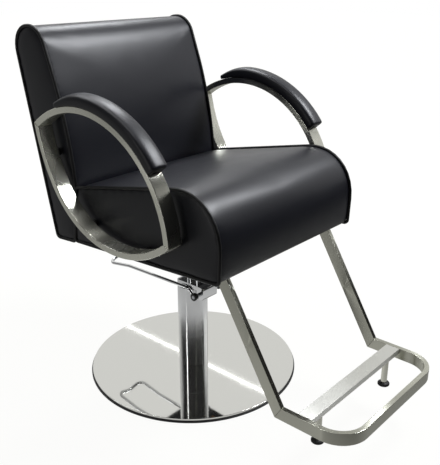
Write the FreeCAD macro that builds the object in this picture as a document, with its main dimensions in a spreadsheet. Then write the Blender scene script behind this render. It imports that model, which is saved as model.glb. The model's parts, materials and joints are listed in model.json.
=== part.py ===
import FreeCAD, Part
import math
import os
import Sketcher

# Hydraulic threading chair: a boxed seat and back cushion between two leaf-shaped arm loops,
# a bent-bar footrest hung under the seat front, and a pump column on a round polished base.
# Millimetres, +Z up. The sitter faces -Y. The origin is the centre of the base's underside.

LENGTHS = {
    # Round base
    "base_radius": 290,
    "ring_width": 9.7,
    "ring_height": 5,
    "ring_round": 1.5,
    "plate_thickness": 9.5,
    "cover_sheet": 1.5,
    "cover_lip": 3,
    "cover_bevel": 1.2,
    "seat_clearance": 0.3,
    # Column, fixed to the base
    "column_radius": 41.5,
    "column_wall": 2,
    "column_top": 250,
    "guide_height": 13,
    "guide_drop": 0.5,
    "socket_floor": 20,
    "socket_top": 80,
    "socket_wall": 4,
    "flange_thickness": 8,
    "washer_thickness": 3,
    "washer_bore": 12,
    "bush_wall": 3,
    "bush_gap": 0.5,
    "base_bolt_circle": 20,
    "base_bolt_radius": 4,
    "base_bolt_head_radius": 7,
    "base_bolt_head": 5,
    "base_bolt_length": 24,
    "bolt_recess": 0.5,
    # Pump, which turns in the column
    "cylinder_radius": 30,
    "cylinder_bore": 18,
    "cylinder_floor": 6,
    "running_fit": 0.05,
    "head_gap": 0.6,
    "head_half_width": 28,
    "head_thickness": 12,
    "head_front": 66,
    "head_rear": 36,
    "head_drop": 26,
    "head_face_gap": 0.6,
    "head_round": 9,
    "gland_height": 20,
    "pivot_y": -54.5,
    "pivot_z": 243,
    "pin_radius": 5,
    "hub_radius": 10,
    "hub_length": 11,
    # Pump lever, a bent rod
    "rod_radius": 4.5,
    "rod_centre": 49,
    "rod_high": 263,
    "rod_rise_y": -28,
    "rod_fall_y": 206,
    "rod_fall_z": 257,
    "rod_tip_y": 296,
    "rod_tip_z": 243,
    "rod_tip_width": 68,
    "rod_crown": 12,
    "rod_bend": 22,
    # Ram and seat mount
    "ram_radius": 14,
    "ram_foot": 122,
    "piston_height": 16,
    "ram_engagement": 45,
    "mount_hub_radius": 26,
    "mount_hub_drop": 58,
    "mount_neck_radius": 20,
    "mount_neck_height": 18,
    "mount_plate_width": 180,
    "mount_plate_thickness": 6,
    "mount_plate_round": 12,
    "mount_bolt_place": 70,
    # Screws that go up into the boards
    "screw_radius": 3,
    "screw_head_radius": 6,
    "screw_head": 3.5,
    "screw_length": 14,
    # Seat
    "seat_half_width": 256,
    "seat_underside": 417,
    "seat_front_foot_y": -324,
    "seat_front_y": -332,
    "seat_front_height": 214,
    "seat_rear_top_y": 147.5,
    "seat_rear_height": 148,
    "seat_rear_foot_y": 169.5,
    "seat_front_round": 115,
    "seat_foot_round": 11,
    "seat_rear_round": 8,
    "seat_crown": 12,
    "seat_front_crown": 10,
    "board_thickness": 15,
    "board_side_margin": 24,
    "board_front_margin": 28,
    "board_rear_margin": 29.5,
    # Back, its reaches measured rearwards from the seat's rear top edge
    "back_foot_drop": 13,
    "back_knee_lift": 3,
    "back_lumbar_reach": 20.9,
    "back_front_top_reach": 99.9,
    "back_height": 377,
    "back_rear_top_reach": 213.9,
    "back_rear_foot_reach": 98.4,
    "back_rear_foot_drop": 19,
    "back_foot_round": 8,
    "back_knee_round": 60,
    "back_top_round": 56,
    "back_rear_foot_round": 12,
    "back_crown": 7,
    "back_rear_crown": 3,
    "back_board_top_margin": 143,
    "back_board_inset": 46,
    # Cushion edges and piping
    "edge_width": 10,
    "edge_drop": 4,
    "side_bulge": 6,
    "bulge_inset": 36,
    "bend_least": 3,
    "piping_radius": 3.6,
    "piping_inset": 2.6,
    # Back brackets
    "bracket_gap": 20,
    "bracket_width": 40,
    "bracket_thickness": 5,
    "bracket_overlap": 100,
    "bracket_rise": 110,
    "bracket_screw_margin": 18,
    # Arm loops, bent flat tube
    "arm_gap": 6.2,
    "arm_width": 40.3,
    "arm_thickness": 15.4,
    "arm_front_y": -231,
    "arm_front_height": 92.2,
    "arm_rear_y": 221.5,
    "arm_rear_height": 298,
    "arm_low_y": 12.1,
    "arm_low_height": 34.6,
    "arm_heel_y": 167.7,
    "arm_heel_height": 148.7,
    "arm_top_rise": 149.9,
    "arm_low_rise": 29.5,
    "arm_heel_rise": 19.6,
    "arm_back_rise": 7.66,
    "stud_boss_radius": 10,
    "stud_radius": 4,
    "stud_depth": 26,
    "front_stud_y": -118,
    "rear_stud_y": 70,
    "back_stud_height": 223,
    # Arm pads
    "pad_half_width": 24.5,
    "pad_side": 19,
    "pad_crown": 28,
    "pad_shoulder": 13,
    "pad_foot_inset": 2,
    "pad_screw_radius": 2.5,
    "pad_screw_head_radius": 5,
    "pad_screw_head": 2.5,
    "pad_screw_depth": 10,
    # Footrest, bent flat tube
    "footrest_margin": 50,
    "footrest_bar": 12,
    "footrest_top": 166.5,
    "footrest_height": 30,
    "footrest_run": 173.5,
    "footrest_corner": 72,
    "elbow_reach": 138,
    "leg_depth": 30.6,
    "leg_plate_thickness": 5,
    "leg_plate_width": 40,
    "leg_plate_lead": 4,
    "leg_plate_tail": 41,
    "leg_screw_setback": 27,
    "leg_screw_side": 12,
    "tread_reach": 72.5,
    "tread_width": 36,
    "tread_thickness": 14,
    "tread_gap": 0.2,
    "post_margin": 46,
    "post_setback": 11.5,
    "post_radius": 7.75,
    "glide_radius": 15,
    "glide_height": 9,
    "glide_round": 2,
    "glide_foot": 80,
    # One overrun for cutting tools
    "overrun": 5,
}

ANGLES = {
    "seat_tilt": 3.36,
    "leg_angle": 31.3,
    "pad_front_angle": 143.4,
    "pad_rear_angle": 73,
    "pad_screw_front_angle": 132,
    "pad_screw_rear_angle": 92,
}

COUNTS = {"base_bolt_count": 4, "piping_side_count": 6, "screw_head_sides": 6}

# Where the side outlines of a cushion's crowned middle stand, as shares of its half width
CROWN_SHARES = (-1, -0.8, -0.5, 0, 0.5, 0.8, 1)
# Where the back's front bends back, as a share of the way up from its knee to its top
LUMBAR_SHARE = 0.425
# How much of the run from the knee to that bend the bend itself takes up
LUMBAR_BEND_SHARE = 0.66
# How far the pad's shoulder bend has come at its middle, as a share of the shoulder
SHOULDER_SHARE = 0.4
# An edge counts as upright when this share of its length is height
UPRIGHT_SHARE = 0.999


class Size:
    """A number worked out from cells of the sheet, with the text of the same sum."""

    def __init__(self, value, text):
        self.value = value
        self.text = text

    def __add__(self, other):
        return Size(self.value + other.value, "(%s + %s)" % (self.text, other.text))

    def __sub__(self, other):
        return Size(self.value - other.value, "(%s - %s)" % (self.text, other.text))

    def __mul__(self, other):
        return Size(self.value * other.value, "(%s * %s)" % (self.text, other.text))

    def __truediv__(self, other):
        return Size(self.value / other.value, "(%s / %s)" % (self.text, other.text))

    def __neg__(self):
        return Size(-self.value, "(0 - %s)" % self.text)


ZERO = Size(0.0, "0")
ONE = Size(1.0, "1")
TWO = Size(2.0, "2")
QUARTER_TURN = Size(90.0, "90")
FULL_TURN = Size(360.0, "360")


def tangent(angle):
    return Size(math.tan(math.radians(angle.value)), "tan(%s * 1 deg)" % angle.text)


def cosine(angle):
    return Size(math.cos(math.radians(angle.value)), "cos(%s * 1 deg)" % angle.text)


def sine(angle):
    return Size(math.sin(math.radians(angle.value)), "sin(%s * 1 deg)" % angle.text)


def slope_angle(rise):
    """Angle in degrees of a slope given as rise over run."""
    return Size(math.degrees(math.atan(rise.value)), "(atan(%s) / 1 deg)" % rise.text)


doc = FreeCAD.newDocument("threading_chair")
sheet = doc.addObject("Spreadsheet::Sheet", "sheet")


class Sizes:
    """The driving sizes by name, each one bound to its cell."""


size = Sizes()
row = 0
for table in (LENGTHS, ANGLES, COUNTS):
    for alias, number in table.items():
        row += 1
        sheet.set("A%d" % row, alias)
        sheet.set("B%d" % row, str(number))
        sheet.setAlias("B%d" % row, alias)
        setattr(size, alias, Size(float(number), "sheet." + alias))
doc.recompute()

parts = {}


# Helpers for sketches and turned or extruded bodies

def new_body(name):
    body = doc.addObject("PartDesign::Body", name)
    body.Label = name
    body.Placement = FreeCAD.Placement()
    parts[name] = body
    return body


def new_sketch(body, role, height=ZERO):
    """Sketch on one of the body's own origin planes, lifted along its normal."""
    plane = [item for item in body.Origin.OriginFeatures if item.Role == role][0]
    sketch = body.newObject("Sketcher::SketchObject", body.Name + "_sketch")
    sketch.AttachmentSupport = [(plane, "")]
    sketch.MapMode = "FlatFace"
    if height.value:
        sketch.setExpression("AttachmentOffset.Base.z", height.text)
    return sketch


def hold_point(sketch, edge, end, corner):
    """Keep one point of an edge at its two sizes, or on an axis where the size is zero."""
    for kind, axis, place in (("DistanceX", -2, corner[0]), ("DistanceY", -1, corner[1])):
        if place.value == 0:
            sketch.addConstraint(Sketcher.Constraint("PointOnObject", edge, end, axis))
        else:
            rule = Sketcher.Constraint(kind, -1, 1, edge, end, place.value)
            number = sketch.addConstraint(rule)
            sketch.setExpression("Constraints[%d]" % number, place.text)


def draw_outline(sketch, corners):
    """Closed outline of straight edges, each corner held by its own two sizes."""
    points = [FreeCAD.Vector(across.value, along.value, 0) for across, along in corners]
    first = sketch.GeometryCount
    for number, point in enumerate(points):
        following = points[(number + 1) % len(points)]
        sketch.addGeometry(Part.LineSegment(point, following), False)
    for number in range(len(points)):
        edge = first + number
        following = first + (number + 1) % len(points)
        sketch.addConstraint(Sketcher.Constraint("Coincident", edge, 2, following, 1))
    for number, corner in enumerate(corners):
        hold_point(sketch, first + number, 1, corner)


def draw_circle(sketch, centre, radius):
    middle = FreeCAD.Vector(centre[0].value, centre[1].value, 0)
    normal = FreeCAD.Vector(0, 0, 1)
    edge = sketch.addGeometry(Part.Circle(middle, normal, radius.value), False)
    hold_point(sketch, edge, 3, centre)
    number = sketch.addConstraint(Sketcher.Constraint("Radius", edge, radius.value))
    sketch.setExpression("Constraints[%d]" % number, radius.text)


def revolve_sketch(body, sketch):
    turn = body.newObject("PartDesign::Revolution", body.Name + "_turn")
    turn.Profile = sketch
    turn.ReferenceAxis = (sketch, ["V_Axis"])
    turn.Angle = FULL_TURN.value
    sketch.Visibility = False
    body.Tip = turn


def turned(name, outline):
    """Body turned about Z from half of its section, given as radius and height."""
    body = new_body(name)
    sketch = new_sketch(body, "XZ_Plane")
    draw_outline(sketch, outline)
    revolve_sketch(body, sketch)
    return body


def tube(name, inner, outer, low, high):
    return turned(name, [(inner, low), (outer, low), (outer, high), (inner, high)])


def pad_sketch(body, sketch, length):
    pad = body.newObject("PartDesign::Pad", body.Name + "_pad")
    pad.Profile = sketch
    pad.setExpression("Length", length.text)
    body.Tip = pad


def extruded(name, role, outline, start, length):
    body = new_body(name)
    sketch = new_sketch(body, role, start)
    draw_outline(sketch, outline)
    pad_sketch(body, sketch, length)
    return body


def rectangle(left, right, low, high):
    return [(left, low), (right, low), (right, high), (left, high)]


def pocket_through(body, role, height, circles, depth, upwards=True):
    """Round holes cut from a plane of the body, upwards or downwards along its normal."""
    sketch = new_sketch(body, role, height)
    for centre, radius in circles:
        draw_circle(sketch, centre, radius)
    pocket = body.newObject("PartDesign::Pocket", body.Name + "_holes")
    pocket.Profile = sketch
    pocket.Reversed = upwards
    pocket.setExpression("Length", depth.text)
    body.Tip = pocket
    doc.recompute()
    return pocket


def round_edges(body, radius, wanted):
    """Fillet the edges of the body that the test wanted picks."""
    doc.recompute()
    base = body.Tip
    names = []
    for number, edge in enumerate(base.Shape.Edges):
        if wanted(edge):
            names.append("Edge%d" % (number + 1))
    if not names:
        raise ValueError("no edges to round on " + body.Name)
    fillet = body.newObject("PartDesign::Fillet", body.Name + "_round")
    fillet.Base = (base, names)
    fillet.setExpression("Radius", radius.text)
    body.Tip = fillet


def upright(edge):
    """A straight edge along Z."""
    if len(edge.Vertexes) != 2:
        return False
    start, end = [vertex.Point for vertex in edge.Vertexes]
    return abs(end.z - start.z) > edge.Length * UPRIGHT_SHARE


def place(item, across, along, up, turn=None):
    """Move an item to its sizes; turn gives an axis and an angle."""
    if turn:
        axis, angle = turn
        item.Placement = FreeCAD.Placement(FreeCAD.Vector(), FreeCAD.Rotation(axis, angle.value))
        item.setExpression("Placement.Rotation.Angle", angle.text)
    for letter, distance in (("x", across), ("y", along), ("z", up)):
        if distance.value:
            item.setExpression("Placement.Base." + letter, distance.text)


def cylinder(radius, height, across, along, up, turn=None):
    rod = doc.addObject("Part::Cylinder", "rod")
    rod.setExpression("Radius", radius.text)
    rod.setExpression("Height", height.text)
    place(rod, across, along, up, turn)
    return rod


def feature(name, shape):
    item = doc.addObject("Part::Feature", name)
    item.Label = name
    item.Shape = shape
    item.Placement = shape.Placement
    parts[name] = item
    return item


def group(name, items):
    """Several separate solids in one node."""
    item = doc.addObject("Part::Compound", name)
    item.Label = name
    item.Links = items
    item.Placement = FreeCAD.Placement()
    parts[name] = item
    return item


X_AXIS = FreeCAD.Vector(1, 0, 0)
Y_AXIS = FreeCAD.Vector(0, 1, 0)
SIDES = (-ONE, ONE)
# The sitter faces -Y, so their right hand is on the -X side
SIDE_NAMES = ((-1, "right"), (1, "left"))


# Round base

plate_radius = size.base_radius - size.ring_width - size.seat_clearance
cover_top = size.plate_thickness + size.cover_sheet
cover_radius = size.base_radius - size.cover_lip
column_inner = size.column_radius - size.column_wall
bolt_hole = size.base_bolt_radius + size.running_fit
recess_radius = size.base_bolt_head_radius + size.seat_clearance
recess_depth = size.base_bolt_head + size.bolt_recess


def bolt_circle():
    """Centres of the bolts that hold the column socket to the plate."""
    places = []
    for number in range(int(size.base_bolt_count.value)):
        turn = Size(number + 0.5, str(number + 0.5)) * FULL_TURN / size.base_bolt_count
        places.append((size.base_bolt_circle * cosine(turn), size.base_bolt_circle * sine(turn)))
    return places


def make_base():
    plate = turned("base_plate", rectangle(ZERO, plate_radius, ZERO, size.plate_thickness))
    holes = [(centre, bolt_hole) for centre in bolt_circle()]
    pocket_through(plate, "XY_Plane", ZERO, holes, size.plate_thickness + size.overrun)
    recesses = [(centre, recess_radius) for centre in bolt_circle()]
    pocket_through(plate, "XY_Plane", ZERO, recesses, recess_depth)

    ring_inner = plate_radius + size.seat_clearance
    turned("base_ring", [
        (ring_inner, ZERO), (size.base_radius - size.ring_round, ZERO),
        (size.base_radius, size.ring_round), (size.base_radius, size.ring_height),
        (ring_inner, size.ring_height)])

    skirt_inner = cover_radius - size.cover_sheet
    turned("base_cover", [
        (column_inner, size.plate_thickness), (skirt_inner, size.plate_thickness),
        (skirt_inner, size.ring_height), (cover_radius, size.ring_height),
        (cover_radius, cover_top - size.cover_bevel),
        (cover_radius - size.cover_bevel, cover_top), (column_inner, cover_top)])

    bolts = []
    for across, along in bolt_circle():
        head_foot = size.bolt_recess
        shank_length = size.base_bolt_length - size.base_bolt_head
        head = cylinder(size.base_bolt_head_radius, size.base_bolt_head, across, along, head_foot)
        shank_foot = head_foot + size.base_bolt_head
        shank = cylinder(size.base_bolt_radius, shank_length, across, along, shank_foot)
        bolt = doc.addObject("Part::Fuse", "base_bolt")
        bolt.Base = head
        bolt.Tool = shank
        bolts.append(bolt)
    group("base_bolts", bolts)


# Column, fixed to the base

socket_outer = column_inner - size.seat_clearance
socket_bore = size.cylinder_radius + size.bush_wall
floor_top = size.plate_thickness + size.socket_floor
bush_inner = size.cylinder_radius + size.running_fit
bush_outer = socket_bore - size.running_fit
cylinder_foot = floor_top + size.washer_thickness
head_foot = size.column_top + size.head_gap


def make_column():
    tube("column_cover", column_inner, size.column_radius, cover_top, size.column_top)
    flange_top = size.plate_thickness + size.flange_thickness
    wall_outer = socket_bore + size.socket_wall
    socket = turned("column_socket", [
        (ZERO, size.plate_thickness), (socket_outer, size.plate_thickness),
        (socket_outer, flange_top), (wall_outer, flange_top), (wall_outer, size.socket_top),
        (socket_bore, size.socket_top), (socket_bore, floor_top), (ZERO, floor_top)])
    holes = [(centre, bolt_hole) for centre in bolt_circle()]
    depth = size.base_bolt_length + size.bolt_recess - size.plate_thickness + size.seat_clearance
    pocket_through(socket, "XY_Plane", size.plate_thickness, holes, depth)
    tube("thrust_washer", size.washer_bore, bush_outer, floor_top, cylinder_foot)
    bush_foot = cylinder_foot + size.bush_gap
    tube("swivel_bush", bush_inner, bush_outer, bush_foot, size.socket_top)
    guide_top = size.column_top - size.guide_drop
    guide_outer = column_inner - size.running_fit
    tube("column_guide", bush_inner, guide_outer, guide_top - size.guide_height, guide_top)


# Pump, which turns in the column

gland_inner = size.ram_radius + size.running_fit


def make_pump():
    bore_foot = cylinder_foot + size.cylinder_floor
    turned("pump_cylinder", [
        (ZERO, cylinder_foot), (size.cylinder_radius, cylinder_foot),
        (size.cylinder_radius, head_foot), (size.cylinder_bore, head_foot),
        (size.cylinder_bore, bore_foot), (ZERO, bore_foot)])
    gland_outer = size.cylinder_bore - size.running_fit
    tube("pump_gland", gland_inner, gland_outer, head_foot - size.gland_height, head_foot)

    face = size.column_radius + size.head_face_gap
    head_top = head_foot + size.head_thickness
    drop_foot = head_foot - size.head_drop
    head = extruded("pump_head", "YZ_Plane", [
        (-size.head_front, drop_foot), (-face, drop_foot), (-face, head_foot),
        (size.head_rear, head_foot), (size.head_rear, head_top), (-size.head_front, head_top)],
        -size.head_half_width, size.head_half_width * TWO)
    front_middle = -(size.head_front + face).value / 2

    def long_corner(edge):
        box = edge.BoundBox
        return box.XLength > size.head_half_width.value and box.YMax < front_middle

    def rear_corner(edge):
        return upright(edge) and edge.BoundBox.YMin > 0

    round_edges(head, size.head_round, long_corner)
    round_edges(head, size.head_round, rear_corner)
    pocket_through(head, "XY_Plane", head_foot - size.overrun, [((ZERO, ZERO), gland_inner)],
                   size.head_thickness + size.overrun * TWO)
    pin_hole = size.pin_radius + size.running_fit
    pocket_through(head, "YZ_Plane", -size.head_half_width - size.overrun,
                   [((size.pivot_y, size.pivot_z), pin_hole)],
                   (size.head_half_width + size.overrun) * TWO)

    half = size.rod_centre + size.hub_length / TWO
    pin = cylinder(size.pin_radius, half * TWO, -half, size.pivot_y, size.pivot_z,
                   (Y_AXIS, QUARTER_TURN))
    pin.Label = "lever_pin"
    parts["lever_pin"] = pin


def rounded_path(points, radius):
    """Open wire of straight runs with the same bend at each inner point."""
    edges = []
    start = points[0]
    for before, corner, after in zip(points, points[1:], points[2:]):
        back = (before - corner).normalize()
        ahead = (after - corner).normalize()
        half = back.getAngle(ahead) / 2
        reach = radius / math.tan(half)
        middle = (back + ahead).normalize()
        nearest = corner + middle * (radius / math.sin(half) - radius)
        entry = corner + back * reach
        leave = corner + ahead * reach
        edges.append(Part.LineSegment(start, entry).toShape())
        edges.append(Part.Arc(entry, nearest, leave).toShape())
        start = leave
    edges.append(Part.LineSegment(start, points[-1]).toShape())
    return Part.Wire(edges)


def sweep_rod(path, radius):
    start = path.Edges[0].valueAt(path.Edges[0].FirstParameter)
    direction = path.Edges[0].tangentAt(path.Edges[0].FirstParameter)
    ring = Part.Wire([Part.Circle(start, direction, radius).toShape()])
    return path.makePipeShell([ring], True, False)


def make_lever():
    """Bent rod whose two sides run back past the column and meet in a raised cross bar."""
    out = size.rod_centre.value
    tip = size.rod_tip_width.value / 2
    entry = size.pin_radius.value + (size.hub_radius.value - size.pin_radius.value) / 2
    rise = FreeCAD.Vector(0, size.rod_rise_y.value - size.pivot_y.value,
                          size.rod_high.value - size.pivot_z.value).normalize()
    start_y = size.pivot_y.value + rise.y * entry
    start_z = size.pivot_z.value + rise.z * entry
    side = [(out, start_y, start_z), (out, size.rod_rise_y.value, size.rod_high.value),
            (out, size.rod_fall_y.value, size.rod_fall_z.value),
            (out, size.rod_tip_y.value, size.rod_tip_z.value)]
    crown = (0, size.rod_tip_y.value, size.rod_tip_z.value + size.rod_crown.value)
    route = [FreeCAD.Vector(-x, y, z) for x, y, z in side]
    route.append(FreeCAD.Vector(*crown))
    route.extend(FreeCAD.Vector(x, y, z) for x, y, z in reversed(side))
    rod = sweep_rod(rounded_path(route, size.rod_bend.value), size.rod_radius.value)
    feature("pump_lever", rod)
    hubs = []
    for side_sign in SIDES:
        centre = size.rod_centre * side_sign
        foot = centre - size.hub_length / TWO
        solid = cylinder(size.hub_radius, size.hub_length, foot, size.pivot_y, size.pivot_z,
                         (Y_AXIS, QUARTER_TURN))
        bore = cylinder(size.pin_radius + size.running_fit, size.hub_length + size.overrun * TWO,
                        foot - size.overrun, size.pivot_y, size.pivot_z,
                        (Y_AXIS, QUARTER_TURN))
        hub = doc.addObject("Part::Cut", "lever_hub")
        hub.Base = solid
        hub.Tool = bore
        hubs.append(hub)
    group("lever_hubs", hubs)


# Seat mount and ram

slope = tangent(size.seat_tilt)
TILT = (X_AXIS, -size.seat_tilt)


def underside(along):
    """Height of the sloping seat underside above a place along Y."""
    return size.seat_underside - along * slope


hub_foot = size.seat_underside - size.mount_plate_thickness - size.mount_hub_drop
ram_top = hub_foot + size.ram_engagement


def mount_spots():
    reach = size.mount_bolt_place
    return [(reach * one, reach * other) for one in SIDES for other in SIDES]


def make_mount():
    piston_radius = size.cylinder_bore - size.running_fit
    turned("ram", [
        (ZERO, size.ram_foot), (piston_radius, size.ram_foot),
        (piston_radius, size.ram_foot + size.piston_height),
        (size.ram_radius, size.ram_foot + size.piston_height),
        (size.ram_radius, ram_top), (ZERO, ram_top)])
    neck_top = size.seat_underside - size.mount_plate_thickness / TWO
    hub_bore = size.ram_radius + size.running_fit
    bore_top = ram_top + size.seat_clearance
    step = size.mount_neck_height
    hub = turned("mount_hub_form", [
        (hub_bore, hub_foot), (size.mount_neck_radius, hub_foot),
        (size.mount_neck_radius, hub_foot + step), (size.mount_hub_radius, hub_foot + step + step),
        (size.mount_hub_radius, neck_top), (ZERO, neck_top), (ZERO, bore_top),
        (hub_bore, bore_top)])
    del parts["mount_hub_form"]
    plate = new_body("mount_plate_form")
    half = size.mount_plate_width / TWO
    sketch = new_sketch(plate, "XY_Plane", -size.mount_plate_thickness)
    draw_outline(sketch, rectangle(-half, half, -half, half))
    pad_sketch(plate, sketch, size.mount_plate_thickness)
    round_edges(plate, size.mount_plate_round, upright)
    hole = size.screw_radius + size.running_fit
    holes = [(spot, hole) for spot in mount_spots()]
    pocket_through(plate, "XY_Plane", -size.mount_plate_thickness - size.overrun, holes,
                   size.mount_plate_thickness + size.overrun * TWO)
    place(plate, ZERO, ZERO, size.seat_underside, TILT)
    del parts["mount_plate_form"]
    mount = doc.addObject("Part::Fuse", "seat_mount")
    mount.Label = "seat_mount"
    mount.Base = hub
    mount.Tool = plate
    parts["seat_mount"] = mount
    screws("mount_screws", mount_spots(), size.mount_plate_thickness)


def screws(name, spots, plate_thickness):
    """Hexagon screws that hold a plate to the board, from below, in the tilted frame."""
    items = []
    for across, along in spots:
        shank_length = size.screw_length + plate_thickness
        head = doc.addObject("Part::Prism", "hexagon")
        head.setExpression("Polygon", size.screw_head_sides.text)
        head.setExpression("Circumradius", size.screw_head_radius.text)
        head.setExpression("Height", size.screw_head.text)
        place(head, across, along, -plate_thickness - size.screw_head)
        shank = cylinder(size.screw_radius, shank_length, across, along, -plate_thickness)
        screw = doc.addObject("Part::Fuse", name + "_one")
        screw.Base = head
        screw.Tool = shank
        items.append(screw)
    node = group(name, items)
    place(node, ZERO, ZERO, size.seat_underside, TILT)


# Cushions

def shifted(corners, distances):
    """Corners of an outline after each of its edges has moved outwards by its distance."""
    count = len(corners)
    lines = []
    for number, corner in enumerate(corners):
        following = corners[(number + 1) % count]
        along = (following[0] - corner[0], following[1] - corner[1])
        length = math.hypot(*along)
        outward = (along[1] / length, -along[0] / length)
        move = distances[number]
        point = (corner[0] + outward[0] * move, corner[1] + outward[1] * move)
        lines.append((point, along))
    moved = []
    for number in range(count):
        (first, first_way), (second, second_way) = lines[number - 1], lines[number]
        cross = first_way[0] * second_way[1] - first_way[1] * second_way[0]
        gap = (second[0] - first[0], second[1] - first[1])
        step = (gap[0] * second_way[1] - gap[1] * second_way[0]) / cross
        moved.append((first[0] + first_way[0] * step, first[1] + first_way[1] * step))
    return moved


def rounded_wire(across, corners, radii):
    """Closed wire at a place across the chair, with an arc at every corner."""
    count = len(corners)
    stretches = []
    for number, corner in enumerate(corners):
        point = FreeCAD.Vector(across, corner[0], corner[1])
        before = FreeCAD.Vector(across, *corners[number - 1])
        after = FreeCAD.Vector(across, *corners[(number + 1) % count])
        back = (before - point).normalize()
        ahead = (after - point).normalize()
        half = back.getAngle(ahead) / 2
        reach = radii[number] / math.tan(half)
        middle = (back + ahead).normalize()
        nearest = point + middle * (radii[number] / math.sin(half) - radii[number])
        stretches.append((point + back * reach, nearest, point + ahead * reach))
    edges = []
    for number, (entry, nearest, leave) in enumerate(stretches):
        edges.append(Part.Arc(entry, nearest, leave).toShape())
        edges.append(Part.LineSegment(leave, stretches[(number + 1) % count][0]).toShape())
    return Part.Wire(edges)


def outline_wire(across, corners, radii, moves):
    """Rounded side outline after each edge has moved outwards; its bends grow with it."""
    least = size.bend_least.value
    grown = [max(radius + min(moves[number - 1], moves[number]), least)
             for number, radius in enumerate(radii)]
    return rounded_wire(across, shifted(corners, moves), grown)


def cushion(half_width, corners, radii, crowns):
    """Loft of side outlines: crowned middle, drawn-in side seams and bulged side panels."""
    width = half_width.value
    edge = width - size.edge_width.value
    seam = [-size.edge_drop.value] * len(corners)
    panel = [-size.bulge_inset.value] * len(corners)
    stations = [(-width - size.side_bulge.value, panel), (-width, seam)]
    for share in CROWN_SHARES:
        stations.append((edge * share, [crown * (1 - share ** 2) for crown in crowns]))
    stations += [(width, seam), (width + size.side_bulge.value, panel)]
    wires = [outline_wire(across, corners, radii, moves) for across, moves in stations]
    return Part.makeLoft(wires, True, True)


board_front_y = size.seat_front_foot_y + size.board_front_margin
board_rear_y = size.seat_rear_foot_y - size.board_rear_margin
seat_rear_top_z = underside(size.seat_rear_foot_y) + size.seat_rear_height


def seat_corners():
    foot_y = size.seat_front_foot_y
    rear_y = size.seat_rear_foot_y
    points = [(foot_y, underside(foot_y)), (rear_y, underside(rear_y)),
              (size.seat_rear_top_y, seat_rear_top_z),
              (size.seat_front_y, underside(foot_y) + size.seat_front_height)]
    return [(along.value, up.value) for along, up in points]


SEAT_ROUNDS = ("seat_foot_round", "seat_rear_round", "seat_rear_round", "seat_front_round")


# The lower front of the back runs parallel to the rear of the seat, and the cords of both
# side seams stand proud of their cushions and nearly touch
rear_slope = (size.seat_rear_foot_y - size.seat_rear_top_y) / size.seat_rear_height
join_gap = (size.piping_radius - size.piping_inset) * TWO + size.seat_clearance
back_rear_top_y = size.seat_rear_top_y + size.back_rear_top_reach
back_rear_foot_y = size.seat_rear_top_y + size.back_rear_foot_reach
back_rear_foot_z = size.seat_underside - size.back_rear_foot_drop
back_foot_z = size.seat_underside - size.back_foot_drop
back_knee_z = seat_rear_top_z + size.back_knee_lift
back_top_z = seat_rear_top_z + size.back_height


def behind_seat(up):
    """Place along Y of the lower front of the back at a height."""
    gap = join_gap / cosine(slope_angle(rear_slope))
    return size.seat_rear_top_y + (seat_rear_top_z - up) * rear_slope + gap


def back_corners():
    lumbar_z = back_knee_z.value + (back_top_z - back_knee_z).value * LUMBAR_SHARE
    points = [(behind_seat(back_foot_z), back_foot_z), (back_rear_foot_y, back_rear_foot_z),
              (back_rear_top_y, back_top_z),
              (size.seat_rear_top_y + size.back_front_top_reach, back_top_z),
              (behind_seat(back_knee_z), back_knee_z)]
    corners = [(along.value, up.value) for along, up in points]
    lumbar_y = (size.seat_rear_top_y + size.back_lumbar_reach).value
    return corners[:-1] + [(lumbar_y, lumbar_z)] + corners[-1:]


def back_rounds():
    """Radii of the back's corners; the lumbar bend takes a share of the run below it."""
    top, lumbar, knee = back_corners()[3:]
    upper = math.atan2(top[1] - lumbar[1], top[0] - lumbar[0])
    lower = math.atan2(lumbar[1] - knee[1], lumbar[0] - knee[0])
    turn = abs(lower - upper)
    lumbar_round = LUMBAR_BEND_SHARE * math.dist(knee, lumbar) / math.tan(turn / 2)
    top_round = size.back_top_round.value
    return [size.back_foot_round.value, size.back_rear_foot_round.value, top_round, top_round,
            lumbar_round, size.back_knee_round.value]


def numbers(names):
    return [getattr(size, name).value for name in names]


def tilted_box(left, right, front, rear, low, high):
    box = Part.makeBox(right - left, rear - front, high - low, FreeCAD.Vector(left, front, low))
    turn = FreeCAD.Rotation(X_AXIS, -size.seat_tilt.value)
    box.Placement = FreeCAD.Placement(FreeCAD.Vector(0, 0, size.seat_underside.value), turn)
    return box


def flat_sided_ring(centre, direction, radius):
    """Section with flat sides that stands for a round cord with few faces."""
    across = X_AXIS
    upwards = direction.cross(across)
    sides = int(size.piping_side_count.value)
    spots = []
    for number in range(sides):
        turn = 2 * math.pi * (number + 0.5) / sides
        spots.append(centre + across * (radius * math.cos(turn))
                     + upwards * (radius * math.sin(turn)))
    return Part.makePolygon(spots + spots[:1])


def piping(corners, radii, half_width):
    """Round cord sewn into both side seams."""
    cords = []
    radius = size.piping_radius.value
    for side_sign in (-1, 1):
        across = side_sign * (half_width.value - size.piping_inset.value)
        inset = -size.piping_inset.value
        path = outline_wire(across, corners, radii, [inset] * len(corners))
        start = path.Edges[1].valueAt(path.Edges[1].FirstParameter)
        direction = path.Edges[1].tangentAt(path.Edges[1].FirstParameter)
        ring = flat_sided_ring(start, direction, radius)
        loop = Part.Wire(path.Edges[1:] + path.Edges[:1])
        cords.append(loop.makePipeShell([ring], True, False))
    return Part.makeCompound(cords)


arm_inner = size.seat_half_width + size.side_bulge + size.arm_gap


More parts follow.
